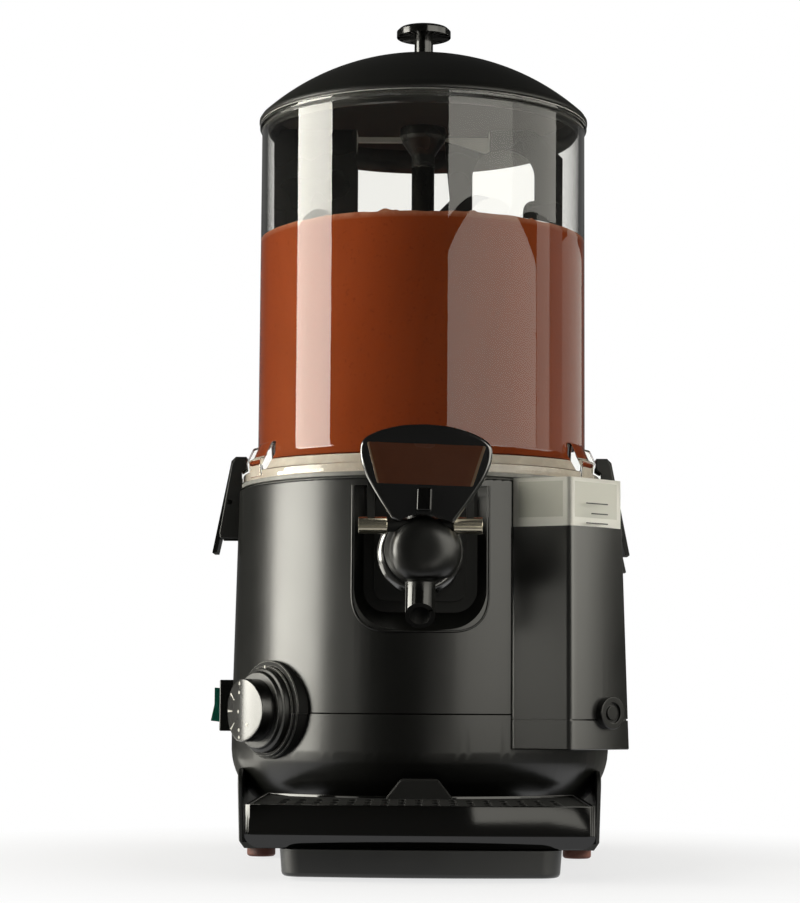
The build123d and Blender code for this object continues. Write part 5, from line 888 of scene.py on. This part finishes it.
# Painted shade: the spout's bore is painted a darker matt black.
repaint(moulding["tap_body"], BLACK_MATT,
        lambda x, y, z: z < SPOUT_ROOT and math.hypot(x, y - BALL_Y) < SPOUT_BORE + 0.2)
repaint(moulding["inner_pot"], SEAL, lambda x, y, z: math.hypot(x, y) > POT_RIM[0] and z > POT_RIM[1])
# Painted highlight: the paddles' arms are painted pale steel so that they show bright.
for arm in ("left_paddle", "right_paddle"):
    repaint(moulding[arm], ARM_HIGHLIGHT_STEEL, on_arm)
stand_in("agitator_hub", lathe("agitator_hub", filleted(HUB), segments=72), AGITATOR)


def plunger_coil():
    """Spring above the plunger, as a copy of the CAD spring that rides on the plunger."""
    spring = "plunger_spring"
    mesh = finished(copy_of(spring), "plunger_coil")
    coil = new_piece("plunger_coil", mesh, STEEL, "tap_plunger", (spring,))
    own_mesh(coil)


def tank_mesh():
    """Frosted tank with sunk panels in its two front faces."""
    bm = copy_of("water_tank", turned_tank, [(place(0, 0, TANK_PANEL), (0, 0, 1))])
    for azimuth in TANK_FACES:
        out = Vector((math.sin(math.radians(azimuth)), -math.cos(math.radians(azimuth)), 0))
        bm.normal_update()
        upper = [f for f in bm.faces if f.calc_center_median().z > TANK_PANEL / 1000]
        front = max((f for f in upper if f.normal.dot(out) > 0.97), key=lambda f: f.calc_area())
        bmesh.ops.inset_individual(bm, faces=[front], thickness=PANEL_EDGE, depth=-PANEL_SINK)
        front.material_index = 1
    bevelled(bm, sharp_edges(bm), 0.0005)
    return finished(bm, "water_tank")


plunger_coil()
tank = stand_in("water_tank", tank_mesh(), TANK, even=True)
tank.data.materials.append(TANK_PANE)

PAINTED = (
    (STEEL, ("water_jacket", "heater_ring", "lid_screw", "idler_axle", "latch_springs", "thermostat_shaft",
             "screws")),
    (WHITE, ("shaft_bushes", "output_gear", "idler_gear", "gear_case", "gear_cover", "tap_plunger")),
    (BRASS, ("heater_nuts", "motor_pinion", "water_pipe")),
    (BLACK_DULL, ("thermostat_body", "safety_cutout", "terminal_block")),
    (MOTOR, ("motor_rotor", "motor_can")), (DARK_STEEL, ("drive_shaft",)), (BLACK_RUBBER, ("tap_gasket",)),
)
for material, nodes in PAINTED:
    for node in nodes:
        paint(node, material)


# Bowl and its seal


def bowl_ear():
    """Clear lug at the right of the bowl's foot, with a rib up the wall."""
    root = BOWL_R - 2
    outline = filleted([
        (root, BOWL_BOTTOM + 1.5, 0), (LUG_REACH - 1, BOWL_BOTTOM + 1.5, 1), (LUG_REACH, LUG_TOP, 2),
        (FLANGE_R - 2, LUG_TOP + 1, 3), (BOWL_R + 3, RIB_TOP - 1, 3), (root, RIB_TOP, 0),
    ], closed=True)
    bm = bmesh.new()
    bm.from_mesh(slab("bowl_ear", outline, -LUG_HALF, LUG_HALF, facing))
    rims = [e for e in bm.edges if abs(e.verts[0].co.y - e.verts[1].co.y) < 1e-6]
    bevelled(bm, rims, 0.0015, segments=3)
    return finished(bm, "bowl_ear")


def bowl_mesh():
    """Clear bowl with ears and a rolled rim, whose inner wall is wetted up to the chocolate's level."""
    rim = BOWL_TOP - BOWL_RIM
    profile = filleted([
        (BOWL_INNER, BOWL_BOTTOM + 2, 0), (BOWL_INNER, BOWL_BOTTOM, 0.8), (FLANGE_R, BOWL_BOTTOM, 0.8),
        (FLANGE_R, FLANGE_TOP, 1.2), (BOWL_R + 7, FLANGE_TOP, 3.0), (BOWL_R, FLANGE_TOP + 12, 6.0),
        (BOWL_R, rim, 1.5), (BOWL_R + 1.6, rim + 1.6, 1.2), (BOWL_R + 1.6, BOWL_TOP, 1.8),
        (BOWL_INNER, BOWL_TOP, 1.4), (BOWL_INNER, CHOCOLATE_TOP, 0),
    ])
    mesh = lathe("bowl_wall", profile, segments=256, closed=True)
    axis = Matrix.Translation(place(0, 0, 0))
    for turn in EAR_TURNS:
        turned = axis @ Matrix.Rotation(math.radians(turn), 4, "Z") @ axis.inverted()
        mesh.transform(turned.inverted())
        mesh = united(mesh, bowl_ear())
        mesh.transform(turned)
    mesh.name = "bowl_shell"
    beyond, down = RIM_HIGHLIGHT_REACH
    # Faces of the wetted inner wall get the second material, and the rim's outer band the third, a painted
    # highlight.
    for polygon in mesh.polygons:
        x, y, z = from_row(polygon.center)
        if math.hypot(x, y) < BOWL_INNER + 0.3 and z < CHOCOLATE_TOP:
            polygon.material_index = 1
        elif math.hypot(x, y) > BOWL_R + beyond and z > BOWL_TOP - down:
            polygon.material_index = 2
    return mesh


bowl = new_piece("bowl_shell", bowl_mesh(), CLEAR, "housing", ("bowl",))
bowl.data.materials.append(CLEAR_WET)
bowl.data.materials.append(PAINTED_RIM_HIGHLIGHT)

SEAL_COLLAR = filleted([
    (SEAL_INNER, BOWL_BOTTOM - 2, 0), (BOWL_INNER - 0.5, BOWL_BOTTOM + 0.2, 0.6),
    (BOWL_INNER - 0.5, SEAL_TOP, 1.0), (SEAL_INNER, SEAL_TOP - 6, 2.0), (SEAL_INNER, BOWL_BOTTOM, 0),
])
new_piece("seal_collar", lathe("seal_collar", SEAL_COLLAR, closed=True), PALE_SEAL, "housing")


# Chocolate and lid


def chocolate_wave(r, z, angle):
    """Ripples of the chocolate's upper face, lower at its edge."""
    if z < CHOCOLATE_TOP - 4:
        return r, z
    spot = Vector((math.sin(angle) * r * RIPPLE_PITCH, math.cos(angle) * r * RIPPLE_PITCH, 0.7))
    ripple = sum(height * noise.noise(spot * fine) for height, fine in RIPPLES)
    wavy = min(z + ripple * min(1.0, (CHOCOLATE_R + 2 - r) / 6 + 0.6), CHOCOLATE_TOP + 0.8)
    here = Vector((r * math.sin(angle), -r * math.cos(angle)))
    for x, y, size in BUBBLES:
        reach = (here - Vector((x, y))).length / size
        if reach < 1:
            wavy += BUBBLE_RISE * size * math.sqrt(1 - reach * reach)
    return r, wavy


def chocolate_mesh():
    profile = filleted([
        (COLUMN_CLEAR_R, POT_FLOOR, 0), (POT_CLEAR_R, POT_FLOOR, 8), (POT_CLEAR_R, CHOCOLATE_FOOT - 8, 2),
        (CHOCOLATE_R, CHOCOLATE_FOOT, 0.6), (CHOCOLATE_R, CHOCOLATE_TOP - 1, 0),
    ])
    edge = CHOCOLATE_R - 1.2
    profile += [Vector((CHOCOLATE_R, CHOCOLATE_TOP + 0.4)), Vector((edge, CHOCOLATE_TOP + 0.2))]
    for step in range(1, 31):
        profile.append(Vector((edge + (COLUMN_CLEAR_R - edge) * step / 30, CHOCOLATE_TOP - 0.8)))
    return lathe("chocolate_fill", profile, segments=320, closed=True, wave=chocolate_wave)


def lid_mesh():
    """Dome with a brim on the bowl's rim and a skirt inside it."""
    rise = LID_APEX - BOWL_TOP - LID_BRIM
    radius = (LID_R ** 2 + rise ** 2) / (2 * rise)

    def dome(r, wall):
        return r, LID_APEX - radius + math.sqrt((radius - wall) ** 2 - r ** 2)

    brim, foot = BOWL_TOP + LID_BRIM, BOWL_TOP - SKIRT_DEPTH
    profile = [(0, LID_APEX)] + [dome((LID_R - 1.2) * step / 40, 0) for step in range(1, 41)]
    profile += [
        (LID_R - 0.5, brim - 0.1), (LID_R, brim - 0.8), (LID_R, BOWL_TOP + 0.7), (LID_R - 0.7, BOWL_TOP),
        (SKIRT_R, BOWL_TOP), (SKIRT_R, foot + 0.8), (SKIRT_R - 0.8, foot), (SKIRT_R - 1.9, foot),
        (SKIRT_R - LID_WALL, foot + 0.8),
    ]
    profile += [dome((SKIRT_R - LID_WALL) * (1 - step / 30), LID_WALL) for step in range(31)]
    return lathe("lid_dome", [Vector(point) for point in profile], segments=200)


new_piece("chocolate_fill", chocolate_mesh(), CHOCOLATE, "stirrer", ("chocolate",))
lid = new_piece("lid_dome", lid_mesh(), BLACK_DULL, "lid", ("lid",))
repaint(lid, BLACK_POLISHED, lambda x, y, z: math.hypot(x, y) > BOWL_INNER - 4 and z < BOWL_TOP - 0.1)


# Edge of the tap pocket


def pocket_bead():
    """Bead round the tap pocket's mouth, on the casing."""
    half, bottom, top, corner = POCKET_BEAD
    corners = ((-half, top, 0), (-half, bottom, corner), (half, bottom, corner), (half, top, 0))
    line = filleted(corners, steps=12)
    dense = []
    for a, b in zip(line, line[1:]):
        count = max(1, int((b - a).length / 4))
        dense += [a.lerp(b, k / count) for k in range(count)]
    depths = [(u, -math.sqrt(CASING_R ** 2 - u ** 2), v) for u, v in dense + line[-1:]]
    path = [place(*point) for point in depths]
    return tube("pocket_bead", path, [Vector((u, w, 0)).normalized() for u, w, v in depths], BEAD_R)


new_piece("pocket_bead", pocket_bead(), BLACK, "housing")


# Tap handle


def shield_outline():
    """Outline of the handle, with a hollow over the tap's ball, and the shares of its two rims."""
    right = curve_through(SHIELD_SIDE)
    left = [Vector((-u, v)) for u, v in right[:0:-1]]
    across, low = BALL_SHIFT[0] - SHIELD_SHIFT, BALL_Z - BALL_SHIFT[1]
    start = math.asin((right[-1].y - 0.5 - low) / SHIELD_NOTCH)
    notch = []
    narrowing = []
    for step in range(17):
        angle = start + (math.pi - 2 * start) * step / 16
        share = NOTCH_FRONT[0] + (NOTCH_FRONT[1] - NOTCH_FRONT[0]) * max(step - 8, 0) / 8
        narrowing.append(-share * min(step / 3, 1.0))
        notch.append(Vector((across + SHIELD_NOTCH * math.cos(angle), low + SHIELD_NOTCH * math.sin(angle))))
    back = [1.0] * len(right) + [0.0] * len(notch) + [1.0] * len(left)
    front = [1.0] * len(right) + narrowing + [1.0] * len(left)
    return right + notch + left, (back, front)


def fork_mesh():
    """Part of the CAD handle behind the shield: its arms and stem."""
    bm = copy_of("tap_handle")
    cut = bisected(bm, place(0, SHIELD_BACK + 0.02, 0), (0, -1, 0), 1e-7, clear_outer=True)
    rim = [e for e in cut["geom_cut"] if isinstance(e, bmesh.types.BMEdge)]
    bmesh.ops.holes_fill(bm, edges=rim, sides=0)
    bevelled(bm, sharp_edges(bm), 0.0003)
    return finished(bm, "handle_fork")


def on_handle(name, mesh, material, replaced=()):
    new_piece(name, mesh, material, "tap_handle", replaced, even=True)


def framed(low_half, low, high_half, high, low_corner, high_corner):
    """Outline with a lower and an upper half width, and rounded corners."""
    return filleted([
        (-low_half, low, low_corner), (low_half, low, low_corner), (high_half, high, high_corner),
        (-high_half, high, high_corner),
    ], closed=True)


SHIELD_OUTLINE, SHIELD_SHARES = shield_outline()
shield = slab("handle_shield", SHIELD_OUTLINE, SHIELD_BACK, SHIELD_FRONT, leaning, edge=2.2, segments=6,
              shares=SHIELD_SHARES)
on_handle("handle_shield", shield, BLACK_POLISHED, replaced=("tap_handle",))
on_handle("handle_fork", fork_mesh(), BLACK_DULL)

RIB_HALF, RIB_LOW, RIB_HIGH = HANDLE_RIB
rib = slab("handle_rib", framed(RIB_HALF, RIB_LOW, RIB_HALF, RIB_HIGH, 1, 1.5), SHIELD_FRONT + 0.5,
           SHIELD_FRONT - 3.2, leaning, edge=1.2)
on_handle("handle_rib", rib, BLACK_GLOSS)
badge = slab("badge_panel", framed(BADGE_BOTTOM_HALF, BADGE_BOTTOM, BADGE_TOP_HALF, BADGE_TOP, 1.2, 1.2),
             SHIELD_FRONT + 0.6, SHIELD_FRONT - 0.5, leaning, edge=0.25)
on_handle("badge_panel", badge, PANEL, ("handle_badge",))


# Latch brackets


def latch_bracket(side):
    """Two cheeks beside a latch, and a thin back against the casing."""
    outline = [(-side * u, v) for u, v in filleted(CHEEK_SHAPE, closed=True)]
    cheeks = [slab("cheek", outline, end * CHEEK_NEAR, end * CHEEK_FAR, facing, edge=0.6) for end in (-1, 1)]
    reach = math.asin(CHEEK_FAR / CASING_R)
    plan = []
    for radius, turn in ((CASING_R + 0.1, 1), (CASING_R + 0.9, -1)):
        for step in range(9):
            angle = turn * reach * (step - 4) / 4
            plan.append((side * radius * math.cos(angle), radius * math.sin(angle)))
    return cheeks + [slab("bracket_back", plan, *BRACKET_BACK, place)]


brackets = merged("latch_cheeks", latch_bracket(-1) + latch_bracket(1))
new_piece("latch_cheeks", brackets, BLACK_DULL, "housing", ("latch_brackets",), even=True)


# Thermostat knob


def facet_out(across):
    """Outward reach of the grip's two slanting faces, which a round ridge joins."""
    ridge, out = GRIP_RIDGE
    rise = (out - GRIP_LEFT_OUT) / (GRIP_R + ridge)
    fall = (GRIP_RIGHT_OUT - out) / (GRIP_R - ridge)
    start, end = ridge - GRIP_BLEND, ridge + GRIP_BLEND
    t = min(max(across, start), end) - start
    bent = out - rise * GRIP_BLEND + rise * t + (fall - rise) * t * t / (4 * GRIP_BLEND)
    return bent + rise * min(across - start, 0.0) + fall * max(across - end, 0.0)


def on_grip(u, v, w):
    """Point of the grip or of a mark on it, by its height over the slanting faces, or of the grip's foot."""
    return on_dial(u, v, DIAL_FRONT - 1 if w == GRIP_DEPTH else facet_out(u) + w)


def dial_marks():
    marks = []
    for u0, v0, u1, v1 in DIAL_TICKS:
        start, end = Vector((u0, v0)), Vector((u1, v1))
        along = (end - start).normalized()
        side = Vector((-along.y, along.x)) * TICK_HALF
        tip = side * TICK_TIP
        marks.append(slab("tick", [start - side, end - tip, end + tip, start + side], *MARK_RISE, on_grip))
    turns = [k * math.pi / 8 for k in range(16)]
    for u, v in DIAL_DOTS:
        ring = [(u + DOT_R * math.cos(turn), v + DOT_R * math.sin(turn)) for turn in turns]
        marks.append(slab("dot", ring, *MARK_RISE, on_grip))
    return merged("dial_marks", marks)


DIAL_SKIRT = filleted([
    (0, DIAL_BACK, 0), (DIAL_R, DIAL_BACK, 0.5), (DIAL_R, DIAL_FRONT - 3.4, 0.9),
    (DIAL_R - 2, DIAL_FRONT - 2.6, 0.8), (DIAL_R - 2.6, DIAL_FRONT, 0.9), (0, DIAL_FRONT, 0),
])
GRIP_EDGE = ((GRIP_R - 0.18, -0.16), (GRIP_R, -0.6), (GRIP_R, GRIP_DEPTH), (0, GRIP_DEPTH))
GRIP_FORM = [Vector(((GRIP_R - 0.6) * step / 12, 0)) for step in range(13)] + [Vector(p) for p in GRIP_EDGE]
skirt = lathe("dial_skirt", DIAL_SKIRT, segments=120, spot=on_dial)
new_piece("dial_skirt", skirt, BLACK_DULL, "thermostat_knob", ("thermostat_knob",))
grip = lathe("dial_grip", GRIP_FORM, segments=96, spot=on_grip)
new_piece("dial_grip", grip, BLACK_GRIP, "thermostat_knob", even=True)
new_piece("dial_marks", dial_marks(), MARK, "thermostat_knob")
pointer = slab("dial_pointer", POINTER, *POINTER_OUT, on_dial)
new_piece("dial_pointer", pointer, MARK, "housing")


# Level marks on the water tank


def level_marks():
    first, last, heights = LEVEL_MARKS
    along = SLANT_END - SLANT_START
    back, front = (Vector((along.y, -along.x)).normalized() * proud for proud in LEVEL_PROUD)
    marks = []
    for index, height in enumerate(heights):
        start = SLANT_START + along * (first if index % 2 == 0 else first + LEVEL_SHORT)
        end = SLANT_START + along * last
        plan = [start + back, end + back, end + front, start + front]
        marks.append(slab("level", plan, height, height + LEVEL_HIGH, place))
    return merged("level_marks", marks)


new_piece("level_marks", level_marks(), GREY_MARK, "housing")


# Stage, light and camera

LIGHT_TINT = (1.0, 0.975, 0.88)
PURE_WHITE = (1.0, 1.0, 1.0)
FLOOR_FADE = 0.72           # share of plain white in the floor close to the object
FLOOR_WHITE = (0.26, 0.33)  # reflections show the floor white up to the first reach, dim past the second
FLOOR_CORNERS, FLOOR_Z = ((-7, -7), (7, -7), (7, 7), (-7, 7)), -0.0002
FLOOR_CARD = ((78, -700), (255, -700), (490, -1450), (150, -1450))
FLOOR_LEFT = ((-125, 0.42), (-60, 0.42), (-60, 1.1), (-125, 1.1))   # azimuth and distance of its corners
CARD_DISTANCE = 1.5
CARD_STEP = 0.69            # height that the bowl mirrors at the chocolate's top
CARDS = {                   # two azimuths, two heights and a strength
    "softbox_upper": (-95, -64, 0.4, CARD_STEP, 11.0), "softbox_top": (-95, -64, CARD_STEP, 1.02, 18.5),
    "softbox_low": (-101, -62, 0.0, 0.4, 15.0),
    "panel_low_left": (-50, -36, 0.085, 0.245, 2.4), "panel_right": (17, 84, 0.38, CARD_STEP, 2.9),
    "panel_right_top": (17, 63, CARD_STEP, 1.12, 4.4), "panel_right_back": (63, 104, CARD_STEP, 1.12, 3.0),
    "panel_right_84": (84, 97, 0.38, CARD_STEP, 1.7), "panel_right_97": (97, 112, 0.38, CARD_STEP, 0.5),
    "panel_far_right": (112, 150, 0.38, CARD_STEP, 0.8), "panel_right_low": (21, 60, 0.055, 0.38, 3.3),
    "panel_low_60": (60, 74, 0.055, 0.38, 1.8), "panel_low_74": (74, 84, 0.055, 0.38, 0.9),
    "panel_low_84": (84, 94, 0.055, 0.38, 0.3), "panel_foot": (21, 70, 0.0, 0.055, 1.6),
}


def stage_quad(name, corners, material):
    mesh = bpy.data.meshes.new(name)
    mesh.from_pydata([tuple(c) for c in corners], [], [(0, 1, 2, 3)])
    plane = shown_object(name, mesh)
    mesh.materials.append(material)
    return plane


def around(azimuth, distance, z):
    """Point about the bowl axis, in metres. Azimuth 0 is in front and +90 to the right."""
    return at_bearing(azimuth, 0, distance * 1000, z * 1000)


def glowing_card(name, corners, strength):
    """Glowing card that only reflections show."""
    s = material_nodes(name)
    shown = stage_quad(name, corners, s.show(s.glowing(LIGHT_TINT, strength)))
    shown.visible_camera = False
    shown.visible_diffuse = False
    shown.visible_transmission = False
    shown.visible_shadow = False


def upright_card(name, first, last, bottom, top, strength):
    """Upright card between two azimuths and two heights."""
    azimuth = (first + last) / 2
    half = CARD_DISTANCE * math.tan(math.radians((last - first) / 2))
    side = Vector((math.cos(math.radians(azimuth)), math.sin(math.radians(azimuth)), 0)) * half
    low, high = around(azimuth, CARD_DISTANCE, bottom), around(azimuth, CARD_DISTANCE, top)
    glowing_card(name, [low - side, low + side, high + side, high - side], strength)


def lamp(name, location, target, width, height, radiance):
    """Soft lamp of an even radiance, which reflections don't show."""
    data = bpy.data.lights.new(name, "AREA")
    data.shape = "RECTANGLE"
    data.size = width
    data.size_y = height
    data.energy = radiance * math.pi * width * height
    data.color = LIGHT_TINT
    shown = shown_object(name, data)
    shown.location = location
    shown.rotation_mode = "QUATERNION"
    shown.rotation_quaternion = (Vector(target) - Vector(location)).to_track_quat("-Z", "Y")
    shown.visible_glossy = False
    shown.visible_transmission = False
    shown.visible_camera = False


def floor_material():
    """Pale floor that the camera sees fade into the white background, and the object sees dimmer."""
    s = material_nodes("pale_floor")
    tone = s.mix(s.noise(3, 3), (0.86, 0.86, 0.86), (0.9, 0.9, 0.9))
    lit = s.surface({"Base Color": tone, "Roughness": 0.3, "Specular IOR Level": 0.3})
    white = s.glowing(PURE_WHITE, 1.0)
    dim = s.node("ShaderNodeBsdfDiffuse", {"Color": (0.16, 0.16, 0.16)}).outputs["BSDF"]
    path = s.node("ShaderNodeLightPath").outputs
    reach = s.node("ShaderNodeVectorMath", {0: s.where}, operation="LENGTH").outputs["Value"]
    mirrored = s.math("MULTIPLY", s.between(reach, *FLOOR_WHITE, 1.0, 0.0), path["Is Glossy Ray"])
    unseen = s.blend(mirrored, dim, white)
    faded = s.blend(s.between(reach, 0.18, 0.45, FLOOR_FADE, 1.0), lit, white)
    return s.show(s.blend(path["Is Camera Ray"], unseen, faded))


def set_world():
    """White to the camera, also through the bowl, and a dim room, lighter behind, to the rest."""
    world = bpy.data.worlds.new("studio")
    bpy.context.scene.world = world
    s = Nodes(world, "ShaderNodeOutputWorld", "Generated")
    path = s.node("ShaderNodeLightPath").outputs
    straight = s.math("LESS_THAN", s.math("ADD", path["Diffuse Depth"], path["Glossy Depth"]), 0.5)
    through = s.math("MULTIPLY", path["Is Transmission Ray"], straight)
    behind = s.between(s.along("Y"), 0.80, 0.97, 0.035, 0.12)
    room, white = (s.glowing(PURE_WHITE, strength, "Background") for strength in (behind, 1.0))
    s.show(s.blend(s.math("MAXIMUM", path["Is Camera Ray"], through), room, white))


def set_camera():
    yaw, pitch, roll = CAMERA_YAW, CAMERA_PITCH, CAMERA_ROLL
    ahead = Vector((math.sin(yaw) * math.cos(pitch), math.cos(yaw) * math.cos(pitch), math.sin(pitch)))
    right = Vector((math.cos(yaw), -math.sin(yaw), 0))
    up = right.cross(ahead)
    turned_right = right * math.cos(roll) + up * math.sin(roll)
    turned_up = up * math.cos(roll) - right * math.sin(roll)
    data = bpy.data.cameras.new("camera")
    data.sensor_fit = "AUTO"
    data.sensor_width = SENSOR
    data.lens = FOCAL_PIXELS * SENSOR / IMAGE_H
    camera = shown_object("camera", data)
    basis = Matrix((turned_right, turned_up, -ahead)).transposed().to_4x4()
    camera.matrix_world = Matrix.Translation(place(*CAMERA_PLACE)) @ basis
    bpy.context.scene.camera = camera


stage_quad("floor", [(x, y, FLOOR_Z) for x, y in FLOOR_CORNERS], floor_material())
glowing_card("floor_card", [place(x, y, 0.5) for x, y in FLOOR_CARD], 2.6)
for name, setting in CARDS.items():
    upright_card(name, *setting)
glowing_card("floor_left", [around(azimuth, distance, 0.0005) for azimuth, distance in FLOOR_LEFT], 3.0)
lamp("lamp_left", around(-88, 1.5, 0.71), around(0, 0, 0.71), 0.975, 0.62, 17.0)
lamp("lamp_right", around(95, 1.6, 0.6), around(0, 0, 0.3), 0.9, 1.0, 8.5)
lamp("lamp_top", (0, 0.1, 2.4), (0, 0.05, 0.0), 2.4, 2.4, 0.35)
lamp("lamp_back", around(180, 1.7, 1.2), around(0, 0, 0.3), 1.8, 1.0, 2.0)
set_world()
set_camera()
bpy.context.scene.view_settings.view_transform = "Standard"
